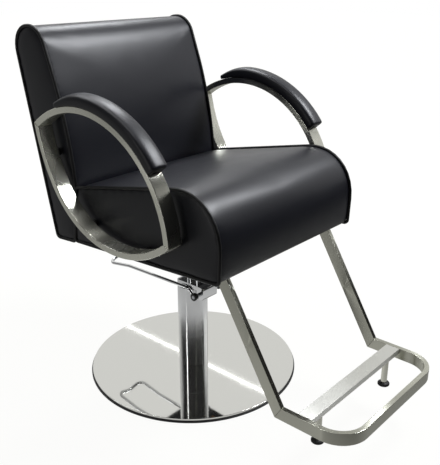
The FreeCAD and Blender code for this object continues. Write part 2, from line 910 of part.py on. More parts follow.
def stud_holes():
    """Holes across the cushion sides for the studs of both arms."""
    radius = size.stud_radius.value + size.seat_clearance.value
    depth = (size.arm_gap + size.side_bulge + size.stud_depth).value
    holes = []
    for side_sign in (-1, 1):
        for along, up in stud_places():
            start = FreeCAD.Vector(side_sign * arm_inner.value, along, up)
            holes.append(Part.makeCylinder(radius, depth, start, FreeCAD.Vector(-side_sign, 0, 0)))
    return holes


def arm_bends():
    """The four bends of a loop's outer face: two ends and a rise, counterclockwise."""
    front = (size.arm_front_y, size.seat_underside + size.arm_front_height)
    low = (size.arm_low_y, size.seat_underside + size.arm_low_height)
    heel = (size.arm_heel_y, size.seat_underside + size.arm_heel_height)
    rear = (size.arm_rear_y, size.seat_underside + size.arm_rear_height)
    return [(front, low, size.arm_low_rise), (low, heel, size.arm_heel_rise),
            (heel, rear, size.arm_back_rise), (rear, front, size.arm_top_rise)]


def arc_centre(start, end, rise):
    """Centre and radius of an arc counterclockwise from start to end, with Y right and Z up."""
    first = (start[0].value, start[1].value)
    last = (end[0].value, end[1].value)
    chord = (last[0] - first[0], last[1] - first[1])
    length = math.hypot(*chord)
    radius = ((length / 2) ** 2 + rise.value ** 2) / (2 * rise.value)
    reach = radius - rise.value
    middle = ((first[0] + last[0]) / 2, (first[1] + last[1]) / 2)
    left = (-chord[1] / length, chord[0] / length)
    return (middle[0] + left[0] * reach, middle[1] + left[1] * reach), radius


def lower_bar_height(along):
    """Height of the middle of an arm's lower bar where it crosses the seat side."""
    low, heel = arm_bends()[:2]
    centre, radius = arc_centre(*(heel if along > size.arm_low_y.value else low))
    reach = radius - size.arm_thickness.value / 2
    return centre[1] - math.sqrt(reach ** 2 - (along - centre[0]) ** 2)


def stud_places():
    centre, radius = arc_centre(*arm_bends()[2])
    reach = radius - size.arm_thickness.value / 2
    up = (size.seat_underside + size.back_stud_height).value
    along = centre[0] + math.sqrt(reach ** 2 - (up - centre[1]) ** 2)
    front = size.front_stud_y.value
    rear = size.rear_stud_y.value
    return [(front, lower_bar_height(front)), (rear, lower_bar_height(rear)), (along, up)]


def make_seat():
    crowns = [0, 0, size.seat_crown.value, size.seat_front_crown.value]
    solid = cushion(size.seat_half_width, seat_corners(), numbers(SEAT_ROUNDS), crowns)
    side = size.seat_half_width.value - size.board_side_margin.value
    gap = size.seat_clearance.value
    front = board_front_y.value
    rear = board_rear_y.value
    thick = size.board_thickness.value
    recess = tilted_box(-side - gap, side + gap, front - gap, rear + gap,
                        -size.overrun.value - size.seat_crown.value, thick + gap)
    solid = solid.cut([recess] + stud_holes())
    feature("seat_cushion", solid)

    board = extruded("seat_board", "XY_Plane", rectangle(
        -(size.seat_half_width - size.board_side_margin),
        size.seat_half_width - size.board_side_margin, board_front_y, board_rear_y),
        ZERO, size.board_thickness)
    hole = size.screw_radius + size.running_fit
    spots = mount_spots() + leg_spots() + bracket_spots()
    circles = [(spot, hole) for spot in spots]
    depth = size.screw_length + size.running_fit
    pocket_through(board, "XY_Plane", ZERO, circles, depth)
    place(board, ZERO, ZERO, size.seat_underside, TILT)
    feature("seat_piping", piping(seat_corners(), numbers(SEAT_ROUNDS), size.seat_half_width))


footrest_outer = size.seat_half_width - size.footrest_margin
elbow_y = size.seat_front_foot_y - size.elbow_reach
leg_lean = tangent(size.leg_angle)
leg_level_depth = size.leg_depth / cosine(size.leg_angle)


def leg_reach(level):
    """Where a leg's slope that starts at a place level with its elbow meets the leg plate."""
    drop = size.leg_plate_thickness / cosine(size.seat_tilt)
    lift = size.footrest_top - size.seat_underside + drop
    return (level - lift * leg_lean) / (ONE + leg_lean * slope)


def leg_spots():
    side_x = footrest_outer - size.footrest_bar / TWO
    along = leg_reach(elbow_y + leg_level_depth) + size.leg_screw_setback
    apart = (size.leg_plate_width - size.leg_screw_side) / TWO
    return [((side_x + apart * end) * sign, along) for sign in SIDES for end in SIDES]


bracket_place = (size.mount_plate_width + size.bracket_width) / TWO + size.bracket_gap
bracket_front_y = board_rear_y - size.bracket_overlap


def bracket_spots():
    first = bracket_front_y + size.bracket_screw_margin
    second = first + size.bracket_screw_margin * TWO
    return [(bracket_place * sign, along) for sign in SIDES for along in (first, second)]


# Back cushion, its board and the brackets that carry it from the seat board

board_slope = ((back_rear_top_y - back_rear_foot_y)
               / (back_top_z - back_rear_foot_z))
board_lean = slope_angle(board_slope)
board_face_y = back_rear_foot_y - size.back_board_inset


def leaning_box(left, right, front, rear, low, high):
    """Box in the back board's frame: Y from its front face, Z up along it from the foot."""
    box = Part.makeBox(right - left, rear - front, high - low, FreeCAD.Vector(left, front, low))
    spot = FreeCAD.Vector(0, board_face_y.value, back_rear_foot_z.value)
    box.Placement = FreeCAD.Placement(spot, FreeCAD.Rotation(X_AXIS, -board_lean.value))
    return box


def back_screw_spots():
    """Places of the screws through the brackets into the back board, on its front face."""
    spots = []
    for sign in SIDES:
        for step in (ONE, ONE + TWO):
            up = back_rear_foot_z + size.bracket_rise - size.bracket_screw_margin * step
            along = board_face_y + (up - back_rear_foot_z) * board_slope
            spots.append((bracket_place * sign, along, up))
    return spots


def rearward(radius, length, spot, ahead):
    """Cylinder square to the back board, starting ahead of its front face."""
    across, along, up = spot
    start_y = along - ahead * cosine(board_lean)
    start_z = up + ahead * sine(board_lean)
    return cylinder(radius, length, across, start_y, start_z,
                    (X_AXIS, -(QUARTER_TURN + board_lean)))


def make_back():
    crown = size.back_crown.value
    rear = size.back_rear_crown.value
    crowns = [0, rear, rear, crown, crown, 0]
    solid = cushion(size.seat_half_width, back_corners(), back_rounds(), crowns)
    side = size.seat_half_width.value - size.board_side_margin.value
    gap = size.seat_clearance.value
    thick = size.board_thickness.value
    rise = back_top_z - back_rear_foot_z - size.back_board_top_margin
    height = (rise / cosine(board_lean)).value
    below = size.board_side_margin.value
    room = (size.bracket_thickness + size.screw_head + size.seat_clearance).value
    cuts = [leaning_box(-side - gap, side + gap, -gap, thick + gap, -below, height + gap)]
    half = size.bracket_width.value / 2 + gap
    for sign in (-1, 1):
        middle = sign * bracket_place.value
        cuts.append(leaning_box(middle - half, middle + half, -room, 0, -below,
                                size.bracket_rise.value + gap))
        cuts.append(tilted_box(middle - half, middle + half, board_rear_y.value,
                               board_face_y.value, -below, gap))
    feature("back_cushion", solid.cut(cuts + stud_holes()))

    board = leaning_box(-side, side, 0, thick, size.board_thickness.value, height)
    blank = doc.addObject("Part::Feature", "back_board_blank")
    blank.Shape = board
    blank.Placement = board.Placement
    drilled("back_board", blank, size.screw_length)
    feature("back_piping", piping(back_corners(), back_rounds(), size.seat_half_width))


def drilled(name, base, depth, across=None, more=()):
    """The base with the back screw holes through it, to a depth behind the board's face."""
    tools = list(more)
    for spot in back_screw_spots():
        if across is None or spot[0].value * across.value > 0:
            ahead = size.bracket_thickness + size.overrun
            tools.append(rearward(size.screw_radius + size.running_fit, ahead + depth, spot, ahead))
    tool = doc.addObject("Part::Compound", name + "_holes")
    tool.Links = tools
    item = doc.addObject("Part::Cut", name)
    item.Label = name
    item.Base = base
    item.Tool = tool
    parts[name] = item
    return item


def make_brackets():
    """Two bent straps: a leg under the seat board and one up the front of the back board."""
    drop = size.bracket_thickness / cosine(size.seat_tilt)
    depth = size.bracket_thickness / cosine(board_lean)
    lift = size.back_rear_foot_drop
    bend = ONE + slope * board_slope
    outer_y = (board_face_y + (lift - drop) * board_slope) / bend
    inner_y = (board_face_y - depth + lift * board_slope) / bend
    rise = size.bracket_rise * cosine(board_lean)
    top_z = back_rear_foot_z + rise
    top_y = board_face_y + rise * board_slope
    front_y = bracket_front_y
    for sign, (_, side_name) in zip(SIDES, SIDE_NAMES):
        name = side_name + "_back_bracket"
        centre = bracket_place * sign
        strap = extruded(name + "_strap", "YZ_Plane", [
            (front_y, underside(front_y) - drop), (outer_y, underside(outer_y) - drop),
            (top_y, top_z), (top_y - depth, top_z), (inner_y, underside(inner_y)),
            (front_y, underside(front_y))],
            centre - size.bracket_width / TWO, size.bracket_width)
        del parts[name + "_strap"]
        hole = size.screw_radius + size.running_fit
        foot = -size.bracket_thickness - size.overrun
        length = size.bracket_thickness + size.overrun * TWO
        holes = doc.addObject("Part::Compound", name + "_leg_holes")
        holes.Links = [cylinder(hole, length, across, along, foot)
                       for across, along in bracket_spots() if across.value * sign.value > 0]
        place(holes, ZERO, ZERO, size.seat_underside, TILT)
        drilled(name, strap, size.overrun, sign, [holes])
    screws("bracket_screws", bracket_spots(), size.bracket_thickness)
    items = []
    for spot in back_screw_spots():
        ahead = size.bracket_thickness
        shank = rearward(size.screw_radius, ahead + size.screw_length, spot, ahead)
        head = rearward(size.screw_head_radius, size.screw_head, spot, ahead + size.screw_head)
        screw = doc.addObject("Part::Fuse", "back_screw")
        screw.Base = head
        screw.Tool = shank
        items.append(screw)
    group("back_screws", items)


# Arm loops

def crossing(first, first_radius, second, second_radius, near):
    """The place nearest to near where two circles in the side view cross."""
    gap = (second[0] - first[0], second[1] - first[1])
    apart = math.hypot(*gap)
    reach = (apart ** 2 + first_radius ** 2 - second_radius ** 2) / (2 * apart)
    rise = math.sqrt(first_radius ** 2 - reach ** 2)
    way = (gap[0] / apart, gap[1] / apart)
    places = [(first[0] + way[0] * reach - way[1] * rise * sign,
               first[1] + way[1] * reach + way[0] * rise * sign) for sign in (-1, 1)]
    return min(places, key=lambda spot: math.dist(spot, near))


# The front and the rear tip of a loop are mitred, and its other two joints run on smoothly
MITRED_JOINTS = (0, 3)


def arm_wire(across, inset):
    """Closed side outline of an arm loop, moved inwards by inset, at a place across the chair."""
    circles = [arc_centre(*one) for one in arm_bends()]
    joints = []
    for number, (start, _, _) in enumerate(arm_bends()):
        (first, first_radius), (second, second_radius) = circles[number - 1], circles[number]
        near = (start[0].value, start[1].value)
        if inset and number in MITRED_JOINTS:
            joints.append(crossing(first, first_radius - inset, second, second_radius - inset,
                                   near))
        else:
            inwards = [(centre[0] - near[0], centre[1] - near[1]) for centre in (first, second)]
            scaled = [(way[0] / math.hypot(*way), way[1] / math.hypot(*way)) for way in inwards]
            joints.append((near[0] + inset * (scaled[0][0] + scaled[1][0]) / 2,
                           near[1] + inset * (scaled[0][1] + scaled[1][1]) / 2))
    edges = []
    for number, (centre, radius) in enumerate(circles):
        first = FreeCAD.Vector(across, *joints[number])
        last = FreeCAD.Vector(across, *joints[(number + 1) % len(joints)])
        middle = FreeCAD.Vector(across, *centre)
        way = ((first + last) * 0.5 - middle).normalize()
        edges.append(Part.Arc(first, middle + way * (radius - inset), last).toShape())
    return Part.Wire(edges)


def make_arms():
    inner = arm_inner.value
    cushion_side = (size.seat_half_width + size.side_bulge + size.seat_clearance).value
    width = size.arm_width.value
    for side_sign, side_name in SIDE_NAMES:
        outer_wire = arm_wire(side_sign * inner, 0)
        inner_wire = arm_wire(side_sign * inner, size.arm_thickness.value)
        across = FreeCAD.Vector(side_sign * width, 0, 0)
        loop = Part.Face(outer_wire).extrude(across).cut(Part.Face(inner_wire).extrude(across))
        holes = [pad_screw(side_sign, angle, pad_hole_radius, True)
                 for angle in (size.pad_screw_front_angle, size.pad_screw_rear_angle)]
        loop = loop.cut(holes)
        feature(side_name + "_arm_loop", loop.Solids[0])

        studs = []
        boss = inner - cushion_side
        for along, up in stud_places():
            start = FreeCAD.Vector(side_sign * inner, along, up)
            way = FreeCAD.Vector(-side_sign, 0, 0)
            collar = Part.makeCylinder(size.stud_boss_radius.value, boss, start, way)
            shank = Part.makeCylinder(size.stud_radius.value,
                                      boss + size.stud_depth.value, start, way)
            studs.append(collar.fuse(shank).removeSplitter())
        feature(side_name + "_arm_studs", Part.makeCompound(studs))


pad_hole_radius = (size.pad_screw_radius + size.running_fit).value


def radial(angle):
    turn = math.radians(angle.value)
    return FreeCAD.Vector(0, math.cos(turn), math.sin(turn))


def pad_screw(side_sign, angle, radius, for_hole=False):
    """Screw from under the arm into its pad, or the hole that it passes."""
    (along, up), top_radius = arc_centre(*arm_bends()[3])
    centre = FreeCAD.Vector(side_sign * (arm_inner.value + size.arm_width.value / 2), along, up)
    way = radial(angle)
    inside = top_radius - size.arm_thickness.value
    if for_hole:
        length = size.arm_thickness.value + 2 * size.overrun.value
        return Part.makeCylinder(radius, length, centre + way * (inside - size.overrun.value), way)
    # The rim of the flat head meets the hollow face of the bar before its middle does
    head_radius = size.pad_screw_head_radius.value
    seat = math.sqrt(inside ** 2 - head_radius ** 2) - size.running_fit.value
    reach = top_radius + size.seat_clearance.value + size.pad_screw_depth.value - seat
    shank = Part.makeCylinder(radius, reach, centre + way * seat, way)
    head = Part.makeCylinder(head_radius, size.pad_screw_head.value,
                             centre + way * (seat - size.pad_screw_head.value), way)
    return shank.fuse(head).removeSplitter()


def make_pads():
    """Padded arm rests: a crowned section turned about the middle of the arm's top bend."""
    (along, up), top_radius = arc_centre(*arm_bends()[3])
    screws_made = []
    for side_sign, side_name in SIDE_NAMES:
        middle = side_sign * (arm_inner.value + size.arm_width.value / 2)
        foot = top_radius + size.seat_clearance.value
        half = size.pad_half_width.value
        side = foot + size.pad_side.value
        crown = foot + size.pad_crown.value
        shoulder = size.pad_shoulder.value
        inset = size.pad_foot_inset.value
        rise = (crown - side) * SHOULDER_SHARE
        drawn = shoulder * SHOULDER_SHARE

        def spot(across, reach):
            return FreeCAD.Vector(middle + across, along + reach, up)

        edges = [
            Part.LineSegment(spot(-half + inset, foot), spot(half - inset, foot)).toShape(),
            Part.LineSegment(spot(half - inset, foot), spot(half, side)).toShape(),
            Part.Arc(spot(half, side), spot(half - drawn, crown - rise),
                     spot(half - shoulder, crown - inset / 2)).toShape(),
            Part.Arc(spot(half - shoulder, crown - inset / 2), spot(0, crown),
                     spot(-half + shoulder, crown - inset / 2)).toShape(),
            Part.Arc(spot(-half + shoulder, crown - inset / 2),
                     spot(-half + drawn, crown - rise), spot(-half, side)).toShape(),
            Part.LineSegment(spot(-half, side), spot(-half + inset, foot)).toShape()]
        section = Part.Face(Part.Wire(edges))
        pivot = FreeCAD.Vector(middle, along, up)
        section.rotate(pivot, X_AXIS, size.pad_rear_angle.value)
        pad = section.revolve(pivot, X_AXIS,
                              size.pad_front_angle.value - size.pad_rear_angle.value)
        pilot = [pad_screw(side_sign, angle, pad_hole_radius)
                 for angle in (size.pad_screw_front_angle, size.pad_screw_rear_angle)]
        pad = pad.cut(pilot)
        feature(side_name + "_arm_pad", pad.Solids[0])
        for angle in (size.pad_screw_front_angle, size.pad_screw_rear_angle):
            screws_made.append(pad_screw(side_sign, angle, size.pad_screw_radius.value))
    feature("arm_pad_screws", Part.makeCompound(screws_made))


# Footrest

def make_footrest():
    top = size.footrest_top
    foot = top - size.footrest_height
    outer = footrest_outer
    inner = outer - size.footrest_bar
    heel = elbow_y + leg_level_depth - size.footrest_height * leg_lean
    front = elbow_y - size.footrest_run
    front_inner = front + size.footrest_bar
    bow = extruded("footrest_bow", "XY_Plane", [
        (-outer, heel), (-outer, front), (outer, front), (outer, heel),
        (inner, heel), (inner, front_inner), (-inner, front_inner), (-inner, heel)],
        foot, size.footrest_height)
    bar_middle = (front + size.footrest_bar / TWO).value
    wall = size.footrest_bar.value
    round_edges(bow, size.footrest_corner,
                lambda edge: upright(edge) and edge.BoundBox.YMax < bar_middle)
    round_edges(bow, size.footrest_corner - size.footrest_bar,
                lambda edge: upright(edge) and 0 < edge.BoundBox.YMax - bar_middle < wall)
    mitre = new_sketch(bow, "YZ_Plane", -outer - size.overrun)
    draw_outline(mitre, [
        (heel, foot), (heel + size.overrun, foot), (heel + size.overrun, top + size.overrun),
        (elbow_y - size.overrun * (elbow_y - heel) / (foot - top), top + size.overrun)])
    cut = bow.newObject("PartDesign::Pocket", "footrest_mitre")
    cut.Profile = mitre
    cut.Reversed = True
    cut.setExpression("Length", ((outer + size.overrun) * TWO).text)
    bow.Tip = cut

    reach_front = leg_reach(elbow_y)
    reach_rear = leg_reach(elbow_y + leg_level_depth)
    plate_drop = size.leg_plate_thickness / cosine(size.seat_tilt)
    for sign, (_, side_name) in zip(SIDES, SIDE_NAMES):
        start = -outer if sign.value < 0 else inner
        extruded(side_name + "_footrest_leg", "YZ_Plane", [
            (heel, foot), (reach_rear, underside(reach_rear) - plate_drop),
            (reach_front, underside(reach_front) - plate_drop), (elbow_y, top)],
            start, size.footrest_bar)
        middle = (outer - size.footrest_bar / TWO) * sign
        half = size.leg_plate_width / TWO
        plate = extruded(side_name + "_leg_plate", "XY_Plane", rectangle(
            middle - half, middle + half,
            reach_front - size.leg_plate_lead, reach_rear + size.leg_plate_tail),
            -size.leg_plate_thickness, size.leg_plate_thickness)
        hole = size.screw_radius + size.running_fit
        spots = [spot for spot in leg_spots() if spot[0].value * sign.value > 0]
        pocket_through(plate, "XY_Plane", -size.leg_plate_thickness - size.overrun,
                       [(spot, hole) for spot in spots],
                       size.leg_plate_thickness + size.overrun * TWO)
        place(plate, ZERO, ZERO, size.seat_underside, TILT)
    screws("leg_screws", leg_spots(), size.leg_plate_thickness)

    tread_half = inner - size.tread_gap
    tread_front = elbow_y - size.tread_reach
    extruded("footrest_tread", "XY_Plane", rectangle(
        -tread_half, tread_half, tread_front, tread_front + size.tread_width),
        top - size.tread_thickness, size.tread_thickness)
    post_y = tread_front + size.post_setback
    post_x = inner - size.post_margin
    post_top = top - size.tread_thickness
    post_foot = size.glide_foot + size.glide_height
    posts = [cylinder(size.post_radius, post_top - post_foot, post_x * sign,
                      post_y, post_foot) for sign in SIDES]
    group("footrest_posts", posts)
    glides = []
    for sign in SIDES:
        glide = cylinder(size.glide_radius, size.glide_height, post_x * sign,
                         post_y, size.glide_foot)
        doc.recompute()
        soft = doc.addObject("Part::Chamfer", "glide")
        soft.Base = glide
        edges = []
        for number, edge in enumerate(glide.Shape.Edges):
            if len(edge.Vertexes) == 1:
                edges.append((number + 1, size.glide_round.value, size.glide_round.value))
        soft.Edges = edges
        glides.append(soft)
    group("footrest_glides", glides)


make_base()
make_column()
make_pump()
make_lever()
make_mount()
make_seat()
make_back()
make_brackets()
make_arms()
make_pads()
make_footrest()
doc.recompute()

for item in doc.Objects:
    for state in ("Invalid", "Error"):
        if state in item.State:
            raise ValueError("%s is %s" % (item.Name, item.State))

for name, item in parts.items():
    if item.Shape.isNull() or not item.Shape.isValid() or not item.Shape.Solids:
        raise ValueError(name + " has no valid solid")

os.makedirs("parts", exist_ok=True)
for name, item in parts.items():
    item.Shape.exportStep("parts/%s.step" % name)
    box = item.Shape.BoundBox
    print("%-22s %2d solids %9.1f cm3  x %7.1f %7.1f  y %7.1f %7.1f  z %7.1f %7.1f" % (
        name, len(item.Shape.Solids), item.Shape.Volume / 1000, box.XMin, box.XMax,
        box.YMin, box.YMax, box.ZMin, box.ZMax))
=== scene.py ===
# %% [markdown]
# # A threading chair, dressed piece by piece
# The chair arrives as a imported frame: every rigid piece is already at its real size and place.
# This file gives it its looks. Each cell takes one piece or one finish, says what it is on the
# real chair, and makes it with mesh operators, a short simulation or shader nodes.
# Everything is in metres, +Z up. The sitter faces -Y, and the base stands on the floor at Z = 0.

# %% Load the frame
import json
import math
import bmesh
import bpy
import numpy as np
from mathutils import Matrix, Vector


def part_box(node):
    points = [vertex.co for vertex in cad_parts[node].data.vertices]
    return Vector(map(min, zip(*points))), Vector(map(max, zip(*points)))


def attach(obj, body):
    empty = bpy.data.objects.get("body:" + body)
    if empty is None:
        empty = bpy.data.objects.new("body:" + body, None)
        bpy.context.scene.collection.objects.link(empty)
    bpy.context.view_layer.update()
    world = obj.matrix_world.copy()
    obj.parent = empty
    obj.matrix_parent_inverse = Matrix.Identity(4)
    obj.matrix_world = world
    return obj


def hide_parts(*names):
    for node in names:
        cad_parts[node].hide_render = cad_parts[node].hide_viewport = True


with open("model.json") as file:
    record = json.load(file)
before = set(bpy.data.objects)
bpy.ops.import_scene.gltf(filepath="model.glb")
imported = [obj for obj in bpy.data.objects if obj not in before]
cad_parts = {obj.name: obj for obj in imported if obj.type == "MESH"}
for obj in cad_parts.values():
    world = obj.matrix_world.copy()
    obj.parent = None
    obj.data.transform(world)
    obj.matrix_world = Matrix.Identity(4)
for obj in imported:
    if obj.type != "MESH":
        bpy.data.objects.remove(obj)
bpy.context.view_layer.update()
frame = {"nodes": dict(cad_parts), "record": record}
nodes = frame["nodes"]
scene = bpy.context.scene
MM = 0.001

# %% [markdown]
# ## The camera
# The photograph was taken from in front of the chair and on its right, a little above its back,
# with a short telephoto lens. The place and the two angles below were found by matching known
# points of the chair, such as the rim of the base and the corners of the seat.

# %% Camera
CAMERA_PLACE = (-1.21243, -1.17846, 1.05626)
CAMERA_DOWN = 21.249
CAMERA_TURN = -48.395
PHOTO_HEIGHT = 465
FOCAL_PIXELS = 674.96
SENSOR = 36.0

lens = bpy.data.cameras.new("camera")
lens.sensor_fit = "VERTICAL"
lens.sensor_height = SENSOR
lens.lens = SENSOR * FOCAL_PIXELS / PHOTO_HEIGHT
camera = bpy.data.objects.new("camera", lens)
camera.location = CAMERA_PLACE
camera.rotation_euler = (math.radians(90 - CAMERA_DOWN), 0, math.radians(CAMERA_TURN))
scene.collection.objects.link(camera)
scene.camera = camera
scene.view_settings.view_transform = "Standard"
print("camera: lens", round(lens.lens, 2), "mm")

# %% [markdown]
# ## Two helpers for materials
# A colour is written as the hex value that a painter's swatch would show. The renderer needs
# linear light, so one function converts it. The second function adds a shader node, sets its
# options and fills its sockets, either with a value or with a link from another node.

# %% Colour and node helpers
def linear(hex_text):
    """Linear RGBA of an sRGB hex colour."""
    channels = [int(hex_text[start:start + 2], 16) / 255 for start in (1, 3, 5)]
    return [c / 12.92 if c <= 0.04045 else ((c + 0.055) / 1.055) ** 2.4 for c in channels] + [1]


def add_node(tree, kind, inputs=None, **options):
    """Adds one node with its options, and its sockets set or linked."""
    node = tree.nodes.new(kind)
    for name, value in options.items():
        setattr(node, name, value)
    for name, value in (inputs or {}).items():
        if isinstance(value, bpy.types.NodeSocket):
            tree.links.new(value, node.inputs[name])
        else:
            node.inputs[name].default_value = value
    return node


def new_finish(name, colour, metallic, roughness, **more):
    """A material with the constants of its shader set; returns it, its tree and its shader."""
    material = bpy.data.materials.new(name)
    material.use_nodes = True
    tree = material.node_tree
    shader = tree.nodes["Principled BSDF"]
    shader.inputs["Base Color"].default_value = linear(colour)
    shader.inputs["Metallic"].default_value = metallic
    shader.inputs["Roughness"].default_value = roughness
    for socket, value in more.items():
        shader.inputs[socket.replace("_", " ")].default_value = value
    return material, tree, shader


def link_bump(tree, shader, height, depth, under=None):
    """Bumps the shader by a height pattern whose full range is depth metres."""
    bump = add_node(tree, "ShaderNodeBump", {"Height": height, "Strength": 1.0,
                                             "Distance": depth})
    if under:
        tree.links.new(under.outputs["Normal"], bump.inputs["Normal"])
    tree.links.new(bump.outputs["Normal"], shader.inputs["Normal"])
    return bump


finishes = {}
print("helpers ready")

# %% [markdown]
# ## Black upholstery vinyl
# Salon vinyl is a soft PVC skin on a knitted backing. It is embossed with a fine pebble grain
# and sealed with a satin top coat, so its black is deep and its highlights are broad and milky.
# The grain on the real skin is about 0.8 mm across, which is finer than a pixel of the picture,
# so it is drawn at 1.6 mm to show at all. A second, slow pattern stands for the way that foam
# under the skin is never quite even.

# %% Vinyl
GRAIN = 1.6 * MM
GRAIN_DEPTH = 0.035 * MM
FOAM_WAVE = 90 * MM
FOAM_DEPTH = 0.9 * MM
RUBBED = 35 * MM
# The top coat is matted, so it shines a little less than the shader's usual 0.5
VINYL_GLOSS = 0.4
# Rubbed places are this much smoother than the rest
POLISHED_BY = 0.06


def vinyl_finish(name, colour, roughest):
    material, tree, shader = new_finish(name, colour, 0.0, roughest,
                                        Specular_IOR_Level=VINYL_GLOSS)
    place = add_node(tree, "ShaderNodeTexCoord").outputs["Object"]
    pebbles = add_node(tree, "ShaderNodeTexVoronoi", {"Vector": place, "Scale": 1 / GRAIN},
                       feature="SMOOTH_F1")
    foam = add_node(tree, "ShaderNodeTexNoise", {"Vector": place, "Scale": 1 / FOAM_WAVE,
                                                 "Detail": 1.0})
    rubbed = add_node(tree, "ShaderNodeTexNoise", {"Vector": place, "Scale": 1 / RUBBED,
                                                   "Detail": 4.0, "Roughness": 0.6})
    rough = add_node(tree, "ShaderNodeMapRange", {"Value": rubbed.outputs["Fac"],
                                                  "To Min": roughest - POLISHED_BY,
                                                  "To Max": roughest})
    tree.links.new(rough.outputs["Result"], shader.inputs["Roughness"])
    slow = link_bump(tree, shader, foam.outputs["Fac"], FOAM_DEPTH)
    link_bump(tree, shader, pebbles.outputs["Distance"], GRAIN_DEPTH, slow)
    finishes[name] = material
    return material


black_vinyl = vinyl_finish("black_upholstery_vinyl", "#14151c", 0.42)
# The welt is the same vinyl, and its darker black is painted shade along the seams
welt_vinyl_painted_shade = vinyl_finish("black_welt_vinyl_painted_shade", "#050507", 0.5)
print("vinyl:", len(black_vinyl.node_tree.nodes), "nodes")

# %% [markdown]
# ## Stainless steel, satin and mirror
# The arms and the footrest are welded from stainless tube and then belt-polished: fine scratches
# run along the bar. Along the scratches the bar reflects almost like a mirror, and across them
# it smears what it shows, so a lamp becomes a bright band from edge to edge. The shader does the
# same with its anisotropy, turned a quarter from a tangent that runs round the chair's X or Z
# axis, as the belt did. The base disc is stamped from mirror sheet and buffed, and the pump
# column is chromed. A metal's colour is all in its reflection, so each finish keeps the shader's
# own IOR and varies only roughness, with faint smears where hands and cloths have passed.

# %% Stainless and chrome
QUARTER_TURN = 0.25
# How strongly brushed steel draws a lamp out across its scratches, from 0 to 1
BRUSHED = 0.95
SMEAR = 60 * MM


def metal_finish(name, colour, smooth, rough, scratch=None, scratch_depth=0, smear=SMEAR,
                 belt=None, turn=QUARTER_TURN):
    """A metal; scratch is its scratches per metre along X, Y and Z, and belt their axis."""
    material, tree, shader = new_finish(name, colour, 1.0, smooth)
    if belt:
        shader.inputs["Anisotropic"].default_value = BRUSHED
        shader.inputs["Anisotropic Rotation"].default_value = turn
        along = add_node(tree, "ShaderNodeTangent", direction_type="RADIAL", axis=belt)
        tree.links.new(along.outputs["Tangent"], shader.inputs["Tangent"])
    place = add_node(tree, "ShaderNodeTexCoord").outputs["Object"]
    smears = add_node(tree, "ShaderNodeTexNoise", {"Vector": place, "Scale": 1 / smear,
                                                   "Detail": 2.0})
    spread = add_node(tree, "ShaderNodeMapRange", {"Value": smears.outputs["Fac"],
                                                   "From Min": 0.3, "From Max": 0.7,
                                                   "To Min": smooth, "To Max": rough})
    tree.links.new(spread.outputs["Result"], shader.inputs["Roughness"])
    if scratch_depth:
        stretch = add_node(tree, "ShaderNodeMapping", {"Vector": place, "Scale": scratch})
        lines = add_node(tree, "ShaderNodeTexNoise", {"Vector": stretch.outputs["Vector"],
                                                      "Scale": 1.0, "Detail": 3.0})
        link_bump(tree, shader, lines.outputs["Fac"], scratch_depth)
    finishes[name] = material
    return material


# Scratches 1.2 mm apart across the bar and 60 mm long round it; the real ones are finer
ACROSS, ALONG = 1 / (1.2 * MM), 1 / (60 * MM)
BELT_DEPTH = 0.002 * MM
ARM_LINES = (ACROSS, ALONG, ALONG)
FOOT_LINES = (ALONG, ALONG, ACROSS)
TREAD_LINES = (ALONG, ACROSS, ACROSS)
# The grinding wheel leaves coarser rings, 0.6 mm apart up the cylinder
GROUND_LINES = (1 / (8 * MM), 1 / (8 * MM), 1 / (0.6 * MM))
GROUND_DEPTH = 0.01 * MM
arm_stainless = metal_finish("satin_stainless_arms", "#e0e0d4", 0.25, 0.28, ARM_LINES,
                             BELT_DEPTH, belt="X")
# The footrest and legs are the same steel as the arms, and their darker colour is painted shade
# for the shadowed floor under the seat that they reflect
foot_stainless_painted_shade = metal_finish("satin_stainless_footrest_painted_shade", "#bcbcb0", 0.27, 0.3, FOOT_LINES,
                              BELT_DEPTH, belt="Z")
leg_stainless_painted_shade = metal_finish("satin_stainless_legs_painted_shade", "#bcbcb0", 0.25, 0.28, ARM_LINES,
                             BELT_DEPTH, belt="X")
tread_stainless = metal_finish("brushed_tread", "#e0e0da", 0.38, 0.42, TREAD_LINES,
                               BELT_DEPTH, belt="X", turn=0)
satin_stainless = metal_finish("satin_stainless", "#dcdcd0", 0.16, 0.24)
mirror_stainless = metal_finish("mirror_stainless", "#dcdcd8", 0.03, 0.05)
chrome_plate = metal_finish("chrome_plate", "#e2e3e4", 0.03, 0.06)
# The column was polished as it turned, so its fine lines run round it and it smears upright
turned_chrome = metal_finish("turned_chrome", "#e2e3e4", 0.15, 0.19, belt="Z")
zinc_plate = metal_finish("zinc_plate", "#b9bcc0", 0.25, 0.4, smear=6 * MM)
ground_steel = metal_finish("ground_steel", "#a9abad", 0.22, 0.34, GROUND_LINES, GROUND_DEPTH)
bearing_bronze = metal_finish("bearing_bronze", "#b98a4e", 0.25, 0.4, smear=8 * MM)
print("metals:", sum(1 for name in finishes if "vinyl" not in name))

# %% [markdown]
# ## Rubber, plastic, powder coat, iron and plywood
# The quiet finishes share one recipe: a dull surface, a fine pattern that varies its roughness,
# and a small bump. Powder coat has the soft dimples of orange peel, cast iron is coarse, and
# rubber is almost even. Plywood is the one with a drawn pattern: birch plies about 1.5 mm thick,
# light and dark by turns.

# %% Quiet finishes
# A quiet finish is this much smoother and rougher by turns
UNEVEN = 0.08
PLY = 1.5 * MM
# A wave of scale 1 turns 20 radians in a metre, and a light and a dark ply make one full turn
PLY_WAVE = math.tau / (2 * PLY) / 20


